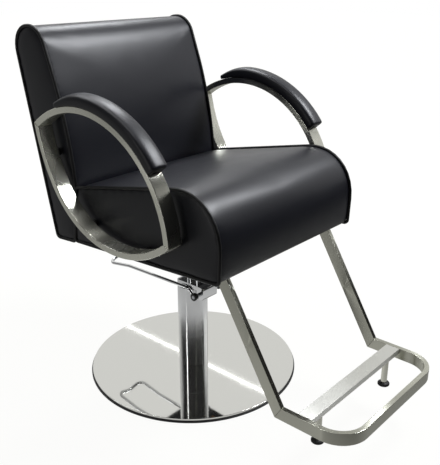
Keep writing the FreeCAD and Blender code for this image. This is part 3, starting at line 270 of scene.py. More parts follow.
def quiet_finish(name, colour, rough, grit, depth, metallic=0.0):
    material, tree, shader = new_finish(name, colour, metallic, rough)
    place = add_node(tree, "ShaderNodeTexCoord").outputs["Object"]
    grain = add_node(tree, "ShaderNodeTexNoise", {"Vector": place, "Scale": 1 / grit,
                                                  "Detail": 3.0})
    vary = add_node(tree, "ShaderNodeMapRange", {"Value": grain.outputs["Fac"],
                                                 "To Min": rough - UNEVEN,
                                                 "To Max": rough + UNEVEN})
    tree.links.new(vary.outputs["Result"], shader.inputs["Roughness"])
    link_bump(tree, shader, grain.outputs["Fac"], depth)
    finishes[name] = material
    return material


edge_rubber = quiet_finish("edge_rubber", "#0e0e0f", 0.55, 2.5 * MM, 0.05 * MM)
moulded_nylon = quiet_finish("moulded_nylon", "#141415", 0.38, 3 * MM, 0.03 * MM)
powder_coat = quiet_finish("black_powder_coat", "#1a1a1b", 0.42, 1.8 * MM, 0.06 * MM)
grey_iron = quiet_finish("grey_cast_iron", "#8b8b89", 0.6, 2 * MM, 0.12 * MM, 0.6)


def plywood_finish():
    material, tree, shader = new_finish("birch_plywood", "#b98f5e", 0.0, 0.65)
    place = add_node(tree, "ShaderNodeTexCoord").outputs["Object"]
    plies = add_node(tree, "ShaderNodeTexWave", {"Vector": place, "Scale": PLY_WAVE,
                                                 "Distortion": 1.5, "Detail": 2.0},
                     bands_direction="Z")
    # On a colour mix the sockets are numbered: 0 the factor, 6 and 7 the colours, 2 the result
    tint = add_node(tree, "ShaderNodeMix", {0: plies.outputs["Fac"], 6: linear("#c79d6a"),
                                            7: linear("#9b7245")}, data_type="RGBA")
    tree.links.new(tint.outputs[2], shader.inputs["Base Color"])
    link_bump(tree, shader, plies.outputs["Fac"], 0.05 * MM)
    finishes["birch_plywood"] = material
    return material


birch_plywood = plywood_finish()
print("finishes:", ", ".join(sorted(finishes)))

# %% [markdown]
# ## From a bmesh to a piece that rides the frame
# Each new piece ends the same way. Its mesh gets a material, smooth shading with sharp creases,
# and an object at the origin. Then it rides on the body that carries it, and takes the place of
# the CAD solids that it stands for.

# %% Piece helper
CREASE = math.radians(35)
# Degrees between two faces past which their edge counts as sharp
SHARP = 40


def as_piece(name, source, body, material, stands_for=(), crease=CREASE):
    """Makes an object of a bmesh or mesh, and hangs it on the frame."""
    if isinstance(source, bmesh.types.BMesh):
        mesh = bpy.data.meshes.new(name)
        source.to_mesh(mesh)
        source.free()
    else:
        mesh = source
    mesh.materials.clear()
    mesh.materials.append(material)
    mesh.shade_smooth()
    piece = bpy.data.objects.new(name, mesh)
    scene.collection.objects.link(piece)
    if crease:
        mesh.set_sharp_from_angle(angle=crease)
        flat = piece.modifiers.new("flat faces", "WEIGHTED_NORMAL")
        flat.keep_sharp = True
    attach(piece, body)
    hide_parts(*stands_for)
    print(name, len(mesh.polygons), "faces on", body)
    return piece


def sharp_edges(bm, least=SHARP):
    """Edges between two faces that meet at more than so many degrees."""
    limit = math.radians(least)
    return [edge for edge in bm.edges
            if len(edge.link_faces) == 2 and edge.calc_face_angle() > limit]


def ease_edges(bm, radius, segments=2, least=SHARP):
    """Rounds every sharp edge, as a file or a polishing belt does."""
    bmesh.ops.bevel(bm, geom=sharp_edges(bm, least), offset=radius, offset_type="OFFSET",
                    affect="EDGES", segments=segments, profile=0.5, material=-1,
                    clamp_overlap=True)


def extrude_all(bm, move):
    """Turns one flat face into a closed solid by moving a copy of it."""
    made = bmesh.ops.extrude_face_region(bm, geom=bm.faces[:])
    moved = [item for item in made["geom"] if isinstance(item, bmesh.types.BMVert)]
    bmesh.ops.translate(bm, verts=moved, vec=move)
    bmesh.ops.recalc_face_normals(bm, faces=bm.faces[:])


def flat_face(places):
    """A bmesh with one face through the places."""
    bm = bmesh.new()
    bm.faces.new([bm.verts.new(place) for place in places])
    return bm


print("piece helpers ready")

# %% [markdown]
# ## The side outlines of seat and back
# Seat and back are boxed cushions: a long strip of vinyl runs round a flat side panel and is
# sewn to it with a piped seam. So both start from the outline of that side panel. Its corners
# are given in the side view, and a vertex bevel rounds each one. The bevel's offset is measured
# along the edges, so a round of a given radius needs radius / tan(half the corner's angle).

# %% Outlines
SEAT_HALF = 256 * MM
SEAT_SLOPE = math.tan(math.radians(3.36))
SEAT_FOOT = 417 * MM
ROUND_STEPS = 10


def underside(along):
    return SEAT_FOOT - along * SEAT_SLOPE


# Each corner is its place along and up the side view and the radius of its round
SEAT_SIDE = [(-324 * MM, underside(-324 * MM), 11 * MM),
             (169.5 * MM, underside(169.5 * MM), 8 * MM),
             (147.5 * MM, 555 * MM, 8 * MM), (-332 * MM, 650 * MM, 115 * MM)]
BACK_SIDE = [(172.3 * MM, 404 * MM, 8 * MM), (245.9 * MM, 398 * MM, 12 * MM),
             (361.4 * MM, 932 * MM, 56 * MM), (247.4 * MM, 932 * MM, 56 * MM),
             (168.4 * MM, 717 * MM, 900 * MM), (149.4 * MM, 558 * MM, 60 * MM)]


def side_face(corners, inset=0.0):
    """One face in the side view with its corners rounded, moved inwards by inset."""
    bm = flat_face([(0, along, up) for along, up, _ in corners])
    bm.verts.ensure_lookup_table()
    verts = bm.verts[:]
    for number, vert in enumerate(verts):
        here = Vector(corners[number][:2])
        before = Vector(corners[number - 1][:2]) - here
        after = Vector(corners[(number + 1) % len(corners)][:2]) - here
        reach = corners[number][2] / math.tan(before.angle(after) / 2)
        bmesh.ops.bevel(bm, geom=[vert], offset=reach, offset_type="OFFSET", affect="VERTICES",
                        segments=ROUND_STEPS, profile=0.5, material=-1, clamp_overlap=False)
    if inset:
        made = bmesh.ops.inset_region(bm, faces=bm.faces[:], thickness=inset,
                                      use_even_offset=True)
        bmesh.ops.delete(bm, geom=made["faces"], context="FACES")
    return bm


def outline_places(corners, inset=0.0):
    """The rounded outline as a ring of (along, up) places."""
    bm = side_face(corners, inset)
    face = bm.faces[:][0]
    places = [(loop.vert.co.y, loop.vert.co.z) for loop in face.loops]
    bm.free()
    return places


for title, corners in (("seat", SEAT_SIDE), ("back", BACK_SIDE)):
    places = outline_places(corners)
    print(title, "outline:", len(places), "points, up to", round(max(p[1] for p in places), 3))

# %% [markdown]
# ## Stuffing a cushion
# A real cushion is a flat-panelled cover with foam pushed in, so its panels swell between seams
# that cannot move. The same happens here: the block is remeshed to an even grid, its seams and
# the face that rests on its board are pinned, and a cloth simulation pushes the rest outwards
# for twenty frames. How far a point may go is limited softly, because foam stops swelling when
# its cover is tight. Afterwards the vinyl is drawn in beside the seams, where the thread pulls.

# %% Cushion maker
VOXEL = 6.5 * MM
SEAM_REACH = 7 * MM
SEAM_WIDTH = 9 * MM
DRAWN_IN = 1.6 * MM
SIM_FRAMES = 20
SMOOTH_PASSES = 6


def outline_distance(points, places):
    """How far each (along, up) point lies from the ring of places."""
    ring = np.array(places)
    nearest = np.full(len(points), np.inf)
    for start, end in zip(ring, np.roll(ring, -1, axis=0)):
        way = end - start
        share = np.clip(((points - start) @ way) / max(way @ way, 1e-12), 0, 1)
        gap = np.linalg.norm(points - start - share[:, None] * way, axis=1)
        nearest = np.minimum(nearest, gap)
    return nearest


def mesh_points(mesh):
    flat = np.empty(len(mesh.vertices) * 3)
    mesh.vertices.foreach_get("co", flat)
    return flat.reshape(-1, 3)


def baked(work):
    """The object's mesh with its modifiers applied."""
    graph = bpy.context.evaluated_depsgraph_get()
    return bpy.data.meshes.new_from_object(work.evaluated_get(graph), depsgraph=graph)


def even_block(corners):
    """The cushion's block as an even grid of small faces."""
    bm = side_face(corners)
    bmesh.ops.translate(bm, verts=bm.verts, vec=(-SEAT_HALF, 0, 0))
    extrude_all(bm, (2 * SEAT_HALF, 0, 0))
    mesh = bpy.data.meshes.new("block")
    bm.to_mesh(mesh)
    bm.free()
    work = bpy.data.objects.new("block", mesh)
    scene.collection.objects.link(work)
    remesh = work.modifiers.new("grid", "REMESH")
    remesh.mode = "VOXEL"
    remesh.voxel_size = VOXEL
    even = baked(work)
    bpy.data.objects.remove(work)
    return even


def swell(mesh, pinned, pressure):
    """Places of the mesh's points after a pressure simulation that holds the pinned ones."""
    work = bpy.data.objects.new("stuffing", mesh)
    scene.collection.objects.link(work)
    held = work.vertex_groups.new(name="held")
    held.add([int(number) for number in np.flatnonzero(pinned)], 1.0, "REPLACE")
    cloth = work.modifiers.new("stuffing", "CLOTH")
    cloth.settings.use_pressure = True
    cloth.settings.uniform_pressure_force = pressure
    cloth.settings.effector_weights.gravity = 0
    cloth.settings.vertex_group_mass = "held"
    cloth.point_cache.frame_start = 1
    cloth.point_cache.frame_end = SIM_FRAMES
    for number in range(1, SIM_FRAMES + 1):
        scene.frame_set(number)
    swollen = mesh_points(baked(work))
    scene.frame_set(1)
    bpy.data.objects.remove(work)
    return swollen


def cushion(name, corners, rests, most_out, most_side, drawn_in, pressure, nodes_replaced):
    """A stuffed cushion with pinned seams; rests picks the points that lie on its board."""
    mesh = even_block(corners)
    start = mesh_points(mesh)
    places = outline_places(corners)
    rim = outline_distance(start[:, 1:], places)
    from_side = SEAT_HALF - np.abs(start[:, 0])
    seam_gap = np.hypot(rim, from_side)
    pinned = (seam_gap < SEAM_REACH) | rests(start)
    swollen = swell(mesh.copy(), pinned, pressure)
    move = swollen - start
    limits = np.array([most_side, most_out, most_out])
    move = limits * np.tanh(move / limits)
    middle = np.array([sum(p[0] for p in places), sum(p[1] for p in places)]) / len(places)
    towards = middle - start[:, 1:]
    towards /= np.linalg.norm(towards, axis=1)[:, None]
    pull = drawn_in * np.exp(-(seam_gap / SEAM_WIDTH) ** 2)
    final = start + move
    final[:, 0] -= np.sign(start[:, 0]) * pull
    final[:, 1:] += towards * pull[:, None]
    mesh.vertices.foreach_set("co", final.ravel())
    bm = bmesh.new()
    bm.from_mesh(mesh)
    bm.verts.ensure_lookup_table()
    loose = [bm.verts[int(number)] for number in np.flatnonzero(~pinned)]
    for _ in range(SMOOTH_PASSES):
        bmesh.ops.smooth_vert(bm, verts=loose, factor=0.5, use_axis_x=True, use_axis_y=True,
                              use_axis_z=True)
    bmesh.ops.recalc_face_normals(bm, faces=bm.faces[:])
    piece = as_piece(name, bm, "seat", black_vinyl, nodes_replaced, crease=0)
    smooth = piece.modifiers.new("finer", "SUBSURF")
    smooth.levels = smooth.render_levels = 1
    print(name, "swelled by up to", round(float(np.abs(move).max()) / MM, 1), "mm")
    return piece


print("cushion maker ready")

# %% [markdown]
# ## Seat cushion
# The seat rests on its plywood board, so its underside stays flat. The top crowns a little and
# the front roll stays full. The side panels may only swell until they meet the arms.

# %% Seat cushion
SEAT_GRIP = 4 * MM


def on_seat_board(points):
    return points[:, 2] - underside(points[:, 1]) < SEAT_GRIP


cushion("seat_upholstery", SEAT_SIDE, on_seat_board, most_out=12 * MM, most_side=6 * MM,
        drawn_in=DRAWN_IN, pressure=4.0, nodes_replaced=["seat_cushion"])

# %% [markdown]
# ## Back cushion
# The back is thin and upright. Its front swells towards the sitter, and its rear is pulled tight
# over the board, so the points of the rear face are held.

# %% Back cushion
BACK_GRIP = 5 * MM
BACK_FOOT = 408 * MM
# The rear is held over this share of its height, below the round of its top
HELD_SHARE = 0.8


def on_back_board(points):
    (foot_y, foot_z, _), (top_y, top_z, _) = BACK_SIDE[1:3]
    share = (points[:, 2] - foot_z) / (top_z - foot_z)
    rear = foot_y + share * (top_y - foot_y)
    return ((rear - points[:, 1] < BACK_GRIP) & (share < HELD_SHARE)) | (points[:, 2] < BACK_FOOT)


cushion("back_upholstery", BACK_SIDE, on_back_board, most_out=8 * MM, most_side=5 * MM,
        drawn_in=DRAWN_IN, pressure=3.0, nodes_replaced=["back_cushion"])

# %% [markdown]
# ## Piping
# The seams are covered by welt cord: a thin cord wrapped in a strip of the same vinyl. Its
# finish is that vinyl made darker, as painted shade along the seams. It follows the outline of
# the side panel exactly, so it is a closed curve through the outline's points with a round
# bevel, made a mesh.

# %% Piping
WELT_RADIUS = 4.2 * MM
WELT_INSET = 2.6 * MM


def welt(name, corners, node):
    curve = bpy.data.curves.new(name, "CURVE")
    curve.dimensions = "3D"
    curve.bevel_depth = WELT_RADIUS
    curve.bevel_resolution = 3
    for side in (-1, 1):
        places = outline_places(corners, WELT_INSET)
        spline = curve.splines.new("POLY")
        spline.points.add(len(places) - 1)
        for point, (along, up) in zip(spline.points, places):
            point.co = (side * (SEAT_HALF - WELT_INSET), along, up, 1)
        spline.use_cyclic_u = True
    work = bpy.data.objects.new(name, curve)
    scene.collection.objects.link(work)
    mesh = baked(work)
    bpy.data.objects.remove(work)
    return as_piece(name, mesh, "seat", welt_vinyl_painted_shade, [node], crease=0)


welt("seat_welt", SEAT_SIDE, "seat_piping")
welt("back_welt", BACK_SIDE, "back_piping")

# %% [markdown]
# ## Bends in the arms
# Each arm is one leaf-shaped loop of flat tube. Its outer face is four circular bends, given by
# their end points and radii, counterclockwise in the side view. The two tips of the leaf are
# mitred and welded.

# %% Arm bends
ARM_INNER = 268.2 * MM
ARM_WIDTH = 40.3 * MM
ARM_THICK = 15.4 * MM
FRONT_TIP = (-231 * MM, 509.2 * MM)
LOW_JOINT = (12.1 * MM, 451.6 * MM)
HEEL_JOINT = (167.7 * MM, 565.7 * MM)
REAR_TIP = (221.5 * MM, 715 * MM)


def bend(start, end, radius):
    """Centre of a counterclockwise arc and its first and last angle."""
    first, last = Vector(start), Vector(end)
    chord = last - first
    rise = math.sqrt(radius ** 2 - (chord.length / 2) ** 2)
    left = Vector((-chord.y, chord.x)).normalized()
    centre = (first + last) / 2 + left * rise
    turn = 2 * math.asin(chord.length / 2 / radius)
    begin = math.atan2(first.y - centre.y, first.x - centre.x)
    return centre, begin, turn, radius


LOW_BEND = bend(FRONT_TIP, LOW_JOINT, 279 * MM)
HEEL_BEND = bend(LOW_JOINT, HEEL_JOINT, 247.5 * MM)
BACK_BEND = bend(HEEL_JOINT, REAR_TIP, 415 * MM)
TOP_BEND = bend(REAR_TIP, FRONT_TIP, 281 * MM)
print("top bend turns", round(math.degrees(TOP_BEND[2])), "degrees")

# %% [markdown]
# ## Bending a flat bar
# A spin takes the four corners of the tube's section round the centre of a bend. The next bend
# starts from the last section, so three bends make one smooth bar. It overruns both tips, and a
# bisect cuts each end along its mitre. The edges are then eased as a polishing belt leaves them.

# %% Arm loop maker
OVERRUN = math.radians(5)
STEPS_PER_TURN = 120
# A mitre cuts what lies this near its tip, and closes a rim that lies this near
CUT_REACH = 60 * MM
RIM_REACH = 40 * MM
ARM_EASE = 1.6 * MM
MERGE = 1e-6
ON_PLANE = 1e-7


def spin_on(bm, ring, centre, turn):
    steps = max(2, round(STEPS_PER_TURN * abs(turn) / math.tau))
    made = bmesh.ops.spin(bm, geom=ring, cent=(0, centre.x, centre.y), axis=(1, 0, 0),
                          dvec=(0, 0, 0), angle=turn, steps=steps, use_merge=False)
    return made["geom_last"]


def section(bm, left, right, centre, angle, outer, inner):
    """The four corners and edges of a flat bar's section at an angle round a centre."""
    verts = []
    for across, reach in ((left, outer), (right, outer), (right, inner), (left, inner)):
        verts.append(bm.verts.new((across, centre.x + reach * math.cos(angle),
                                   centre.y + reach * math.sin(angle))))
    edges = [bm.edges.new((verts[n], verts[(n + 1) % 4])) for n in range(4)]
    return verts + edges


def inner_tip(one, other, near):
    """Where the inner faces of two bends cross, next to a tip."""
    (a, _, _, first), (b, _, _, second) = one, other
    first, second = first - ARM_THICK, second - ARM_THICK
    apart = b - a
    reach = (apart.length ** 2 + first ** 2 - second ** 2) / (2 * apart.length)
    rise = math.sqrt(first ** 2 - reach ** 2)
    way = apart.normalized()
    side = Vector((-way.y, way.x))
    return min((a + way * reach + side * rise * sign for sign in (-1, 1)),
               key=lambda spot: (spot - Vector(near)).length)


def mitre(bm, tip, inside, keep):
    """Cuts the bar along the line from tip to inside, near the tip, and closes the cut."""
    outer = Vector(tip)
    line = inside - outer
    normal = Vector((-line.y, line.x)).normalized()
    if normal.dot(Vector(keep) - outer) > 0:
        normal = -normal
    close = [item for item in bm.verts[:] if (item.co.yz - outer).length < CUT_REACH]
    faces = {face for vert in close for face in vert.link_faces}
    edges = {edge for vert in close for edge in vert.link_edges}
    bmesh.ops.bisect_plane(bm, geom=close + list(edges) + list(faces), dist=ON_PLANE,
                           plane_co=(0, outer.x, outer.y), plane_no=(0, normal.x, normal.y),
                           clear_outer=True)
    rim = [edge for edge in bm.edges if len(edge.link_faces) == 1
           and all((vert.co.yz - outer).length < RIM_REACH for vert in edge.verts)]
    bmesh.ops.holes_fill(bm, edges=rim, sides=0)


FRONT_INNER = inner_tip(TOP_BEND, LOW_BEND, FRONT_TIP)
REAR_INNER = inner_tip(BACK_BEND, TOP_BEND, REAR_TIP)


def flat_bar(side, bends, tips):
    """One bar through its bends, mitred at both ends. A tip is its point, inner point and keep."""
    left, right = sorted((side * ARM_INNER, side * (ARM_INNER + ARM_WIDTH)))
    bm = bmesh.new()
    centre, begin, _, radius = bends[0]
    ring = section(bm, left, right, centre, begin - OVERRUN, radius, radius - ARM_THICK)
    ring = spin_on(bm, ring, centre, OVERRUN)
    for centre, _, turn, _ in bends:
        ring = spin_on(bm, ring, centre, turn)
    spin_on(bm, ring, bends[-1][0], OVERRUN)
    bmesh.ops.remove_doubles(bm, verts=bm.verts[:], dist=MERGE)
    for tip, inside, keep in tips:
        mitre(bm, tip, inside, keep)
    bmesh.ops.recalc_face_normals(bm, faces=bm.faces[:])
    ease_edges(bm, ARM_EASE, 3)
    return bm


def arm_loop(side, side_name):
    lower = flat_bar(side, [LOW_BEND, HEEL_BEND, BACK_BEND],
                     [(FRONT_TIP, FRONT_INNER, LOW_JOINT), (REAR_TIP, REAR_INNER, HEEL_JOINT)])
    top_middle = (0, TOP_BEND[0].y + TOP_BEND[3])
    upper = flat_bar(side, [TOP_BEND],
                     [(REAR_TIP, REAR_INNER, top_middle), (FRONT_TIP, FRONT_INNER, top_middle)])
    half = bpy.data.meshes.new("upper")
    upper.to_mesh(half)
    upper.free()
    lower.from_mesh(half)
    return as_piece(side_name + "_arm_frame", lower, "seat", arm_stainless,
                    [side_name + "_arm_loop"])


SIDES = ((-1, "right"), (1, "left"))
for side, side_name in SIDES:
    arm_loop(side, side_name)

# %% [markdown]
# ## Arm pads
# Each arm carries a foam pad under vinyl, on the middle of its top bend. Its section has a flat
# foot, nearly upright sides and a crowned top. The section is spun round the centre of the bend,
# and both ends are inset and pushed out a little, step by step, so that they close as rounded
# noses. Two levels of subdivision smooth the whole.

# %% Arm pads
PAD_FRONT = math.radians(143.4)
PAD_REAR = math.radians(73)
PAD_LIFT = 0.3 * MM
PAD_HALF = 24.5 * MM
PAD_CROWN = 28 * MM
PAD_NOSE = 6 * MM
# The rear of the pad thins out to this share of its crown, over this much of its turn
PAD_THIN = 0.45
PAD_TAPER = math.radians(17)
# Half of the section as shares of the half width and of the crown's height
PAD_SHARES = ((0.9, 0.0), (0.97, 0.06), (1.0, 0.3), (0.99, 0.58), (0.93, 0.78), (0.78, 0.91),
              (0.5, 0.98), (0.18, 1.0))
# An end face is inset in steps, as shares of a share of its height, and pushed out as shares
# of the nose
NOSE_SHARE = 0.13
NOSE_STEPS = ((0.2, 0.38), (0.35, 0.3), (0.6, 0.2), (0.9, 0.1), (1.2, 0.02))


def arm_pad(side, side_name):
    bm = bmesh.new()
    centre, _, _, radius = TOP_BEND
    middle = side * (ARM_INNER + ARM_WIDTH / 2)
    nose = PAD_NOSE / radius
    angle = PAD_REAR + nose
    half = [(share * PAD_HALF, rise * PAD_CROWN) for share, rise in PAD_SHARES]
    ring = half + [(-across, rise) for across, rise in reversed(half)]
    verts = []
    for across, rise in ring:
        reach = radius + PAD_LIFT + rise
        verts.append(bm.verts.new((middle + across, centre.x + reach * math.cos(angle),
                                   centre.y + reach * math.sin(angle))))
    edges = [bm.edges.new((verts[n], verts[(n + 1) % len(verts)])) for n in range(len(verts))]
    spin_on(bm, verts + edges, centre, PAD_FRONT - PAD_REAR - 2 * nose)
    for vert in bm.verts:
        spoke = Vector((vert.co.y - centre.x, vert.co.z - centre.y))
        turned_by = math.atan2(spoke.y, spoke.x) - PAD_REAR
        share = min(1.0, max(0.0, turned_by / PAD_TAPER))
        crown = PAD_THIN + (1 - PAD_THIN) * math.sin(share * math.pi / 2)
        lift = (spoke.length - radius - PAD_LIFT) * (crown - 1)
        spoke.normalize()
        vert.co.y += spoke.x * lift
        vert.co.z += spoke.y * lift
    bmesh.ops.holes_fill(bm, edges=[edge for edge in bm.edges if len(edge.link_faces) == 1],
                         sides=0)
    bmesh.ops.recalc_face_normals(bm, faces=bm.faces[:])
    for end in [face for face in bm.faces if len(face.verts) == len(ring)]:
        step = NOSE_SHARE * end.calc_area() / (2 * PAD_HALF)
        for inset, out in NOSE_STEPS:
            bmesh.ops.inset_individual(bm, faces=[end], thickness=inset * step,
                                       depth=out * PAD_NOSE, use_even_offset=True)
    piece = as_piece(side_name + "_arm_cushion", bm, "seat", black_vinyl,
                     [side_name + "_arm_pad"], crease=0)
    smooth = piece.modifiers.new("finer", "SUBSURF")
    smooth.levels = smooth.render_levels = 2
    return piece


for side, side_name in SIDES:
    arm_pad(side, side_name)

# %% [markdown]
# ## Footrest bow and legs
# The footrest is a U of flat tube with two sloping legs mitred onto its ends. The bow starts as
# a flat U with its four corners rounded by a vertex bevel, is extruded to its height, cut along
# the mitres and eased along every edge. The legs are leaning bars cut along the same mitres.

# %% Footrest bow and legs
FOOT_TOP = 166.5 * MM
FOOT_HEIGHT = 30 * MM
FOOT_OUTER = 206 * MM
FOOT_BAR = 12 * MM
FOOT_FRONT = -635.5 * MM
FOOT_CORNER = 72 * MM
ELBOW = -462 * MM
LEG_DEPTH = 30.6 * MM
LEG_LEAN = math.radians(31.3)
# The legs end this far below the seat's foot line, on their plates
LEG_DROP = 5 * MM
BAR_EASE = 1.2 * MM
level_depth = LEG_DEPTH / math.cos(LEG_LEAN)
heel = ELBOW + level_depth - FOOT_HEIGHT * math.tan(LEG_LEAN)
foot = FOOT_TOP - FOOT_HEIGHT


def footrest_bow():
    inner = FOOT_OUTER - FOOT_BAR
    front_inner = FOOT_FRONT + FOOT_BAR
    places = [(-FOOT_OUTER, heel), (-FOOT_OUTER, FOOT_FRONT), (FOOT_OUTER, FOOT_FRONT),
              (FOOT_OUTER, heel), (inner, heel), (inner, front_inner), (-inner, front_inner),
              (-inner, heel)]
    bm = flat_face([(across, along, foot) for across, along in places])
    bm.verts.ensure_lookup_table()
    for number, radius in ((1, FOOT_CORNER), (2, FOOT_CORNER), (5, FOOT_CORNER - FOOT_BAR),
                           (6, FOOT_CORNER - FOOT_BAR)):
        corner = min(bm.verts, key=lambda v: (v.co.xy - Vector(places[number])).length)
        bmesh.ops.bevel(bm, geom=[corner], offset=radius, offset_type="OFFSET",
                        affect="VERTICES", segments=14, profile=0.5, material=-1)
    extrude_all(bm, (0, 0, FOOT_HEIGHT))
    cut = Vector((0, FOOT_HEIGHT, -(ELBOW - heel))).normalized()
    bmesh.ops.bisect_plane(bm, geom=bm.verts[:] + bm.edges[:] + bm.faces[:], dist=ON_PLANE,
                           plane_co=(0, heel, foot), plane_no=cut, clear_outer=True)
    bmesh.ops.holes_fill(bm, edges=[e for e in bm.edges if len(e.link_faces) == 1], sides=0)
    bmesh.ops.recalc_face_normals(bm, faces=bm.faces[:])
    ease_edges(bm, BAR_EASE, 2, 50)
    return as_piece("footrest_bow_bar", bm, "seat", foot_stainless_painted_shade,
                    ["footrest_bow"])


def footrest_leg(side, side_name):
    drop = LEG_DROP / math.cos(math.atan(SEAT_SLOPE))
    lean = math.tan(LEG_LEAN)
    lift = FOOT_TOP - SEAT_FOOT + drop
    front = (ELBOW - lift * lean) / (1 + lean * SEAT_SLOPE)
    rear = (ELBOW + level_depth - lift * lean) / (1 + lean * SEAT_SLOPE)
    left = -FOOT_OUTER if side < 0 else FOOT_OUTER - FOOT_BAR
    bm = flat_face([(left, heel, foot), (left, rear, underside(rear) - drop),
                    (left, front, underside(front) - drop), (left, ELBOW, FOOT_TOP)])
    extrude_all(bm, (FOOT_BAR, 0, 0))
    ease_edges(bm, BAR_EASE, 2)
    return as_piece(side_name + "_leg_bar", bm, "seat", leg_stainless_painted_shade,
                    [side_name + "_footrest_leg"])


footrest_bow()
for side, side_name in SIDES:
    footrest_leg(side, side_name)

# %% [markdown]
# ## Tread, posts and glides
# A flat bar crosses the footrest as a tread, with two round posts under it. A turned piece is a
# spin: a half section is drawn beside its axis and spun once round, and the seam is merged.

# %% Turned pieces
def turned(profile, steps, place=(0, 0)):
    """A solid of revolution about an upright axis at place, from (radius, height) points."""
    bm = bmesh.new()
    verts = [bm.verts.new((radius, 0, up)) for radius, up in profile]
    edges = [bm.edges.new((verts[n], verts[(n + 1) % len(verts)])) for n in range(len(verts))
             if profile[n][0] or profile[(n + 1) % len(verts)][0]]
    bmesh.ops.spin(bm, geom=verts + edges, cent=(0, 0, 0), axis=(0, 0, 1), dvec=(0, 0, 0),
                   angle=math.tau, steps=steps, use_merge=True)
    bmesh.ops.remove_doubles(bm, verts=bm.verts[:], dist=MERGE)
    bmesh.ops.recalc_face_normals(bm, faces=bm.faces[:])
    bmesh.ops.translate(bm, verts=bm.verts[:], vec=(place[0], place[1], 0))
    return bm


def joined(meshes):
    """One bmesh from several."""
    whole = bmesh.new()
    for bm in meshes:
        part = bpy.data.meshes.new("part")
        bm.to_mesh(part)
        bm.free()
        whole.from_mesh(part)
    return whole


def eased_box(low, high, radius):
    bm = bmesh.new()
    bmesh.ops.create_cube(bm, size=1.0)
    size = Vector(high) - Vector(low)
    bmesh.ops.scale(bm, vec=size, verts=bm.verts[:])
    bmesh.ops.translate(bm, vec=(Vector(low) + Vector(high)) / 2, verts=bm.verts[:])
    ease_edges(bm, radius)
    return bm


POST_PLACE = 148 * MM
POST_RADIUS = 7.75 * MM
POST_EASE = 0.6 * MM
GLIDE_RADIUS = 15 * MM
GLIDE_SLOPE = 3.5 * MM
GLIDE_NECK = 2.5 * MM
GLIDE_EASE = 1.6 * MM
TREAD_EASE = 1.0 * MM
POST_STEPS, GLIDE_STEPS = 32, 40
tread_low, tread_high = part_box("footrest_tread")
as_piece("footrest_tread_bar", eased_box(tread_low, tread_high, TREAD_EASE), "seat",
         tread_stainless, ["footrest_tread"])

post_low, post_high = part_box("footrest_posts")
glide_low, glide_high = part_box("footrest_glides")
post_y = (post_low.y + post_high.y) / 2
posts, glides = [], []
for side, _ in SIDES:
    spot = (side * POST_PLACE, post_y)
    post = turned([(0, post_low.z), (POST_RADIUS, post_low.z), (POST_RADIUS, post_high.z),
                   (0, post_high.z)], POST_STEPS, spot)
    ease_edges(post, POST_EASE)
    posts.append(post)
    waist = glide_high.z - GLIDE_SLOPE
    glide = turned([(0, glide_low.z), (GLIDE_RADIUS, glide_low.z), (GLIDE_RADIUS, waist),
                    (POST_RADIUS + GLIDE_NECK, glide_high.z), (0, glide_high.z)],
                   GLIDE_STEPS, spot)
    ease_edges(glide, GLIDE_EASE, 3, 20)
    glides.append(glide)
as_piece("footrest_post_pair", joined(posts), "seat", satin_stainless,
         ["footrest_posts"])
as_piece("footrest_glide_pair", joined(glides), "seat", edge_rubber,
         ["footrest_glides"])

# %% [markdown]
# ## Base disc, rubber edge and column
# The base is a heavy steel plate under a mirror-polished cover, with a rubber edge that keeps
# the metal off the floor. The column is a plain chromed tube. Large round pieces need many
# steps in the spin, because their outline shows.

# %% Base and column
cover_low, cover_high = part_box("base_cover")
COVER_RADIUS = cover_high.x
COLUMN_RADIUS = 41.5 * MM
COLUMN_WALL = 2 * MM
SHEET = 1.5 * MM
SHEET_EASE = 0.6 * MM
RING_EASE = 1.2 * MM
DISC_STEPS, TUBE_STEPS = 192, 96
hole = COLUMN_RADIUS - COLUMN_WALL
cover = turned([(hole, cover_high.z - SHEET), (COVER_RADIUS - SHEET, cover_high.z - SHEET),
                (COVER_RADIUS - SHEET, cover_low.z), (COVER_RADIUS, cover_low.z),
                (COVER_RADIUS, cover_high.z), (hole, cover_high.z)], DISC_STEPS)
ease_edges(cover, SHEET_EASE, 3)
as_piece("base_disc", cover, "base", mirror_stainless, ["base_cover"])

ring_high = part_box("base_ring")[1]
RING_INNER = 280.3 * MM
edge_ring = turned([(RING_INNER, 0), (ring_high.x, 0), (ring_high.x, ring_high.z),
                    (RING_INNER, ring_high.z)], DISC_STEPS)
ease_edges(edge_ring, RING_EASE, 3)
as_piece("base_edge", edge_ring, "base", edge_rubber, ["base_ring"])

column_low, column_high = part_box("column_cover")
# The cover is in two lengths; a fine groove shows where they meet
SEAM_UP = 104 * MM
SEAM_GAP = 0.9 * MM
SEAM_EASE = 0.3 * MM
tube = turned([(hole, column_low.z), (COLUMN_RADIUS, column_low.z), (COLUMN_RADIUS, SEAM_UP),
               (COLUMN_RADIUS - SEAM_GAP, SEAM_UP), (COLUMN_RADIUS - SEAM_GAP, SEAM_UP + SEAM_GAP),
               (COLUMN_RADIUS, SEAM_UP + SEAM_GAP), (COLUMN_RADIUS, column_high.z),
               (hole, column_high.z)], TUBE_STEPS)
ease_edges(tube, SEAM_EASE, 2)
as_piece("column_tube", tube, "base", turned_chrome, ["column_cover"])

# %% [markdown]
# ## Dressing the machined pieces
# The pump head, lever and mount are small machined or cast pieces whose CAD shape is right, but
# their meshes are loose triangles. A copy is merged and its flat faces are made whole, so that
# its sharp edges can be eased and its round faces shaded smoothly.

# %% Machined pieces
# Degrees between loose triangles that still count as one flat face
FLAT = 0.5
# Only these steep edges are eased, so that round faces keep their facets' edges
STEEP = 50


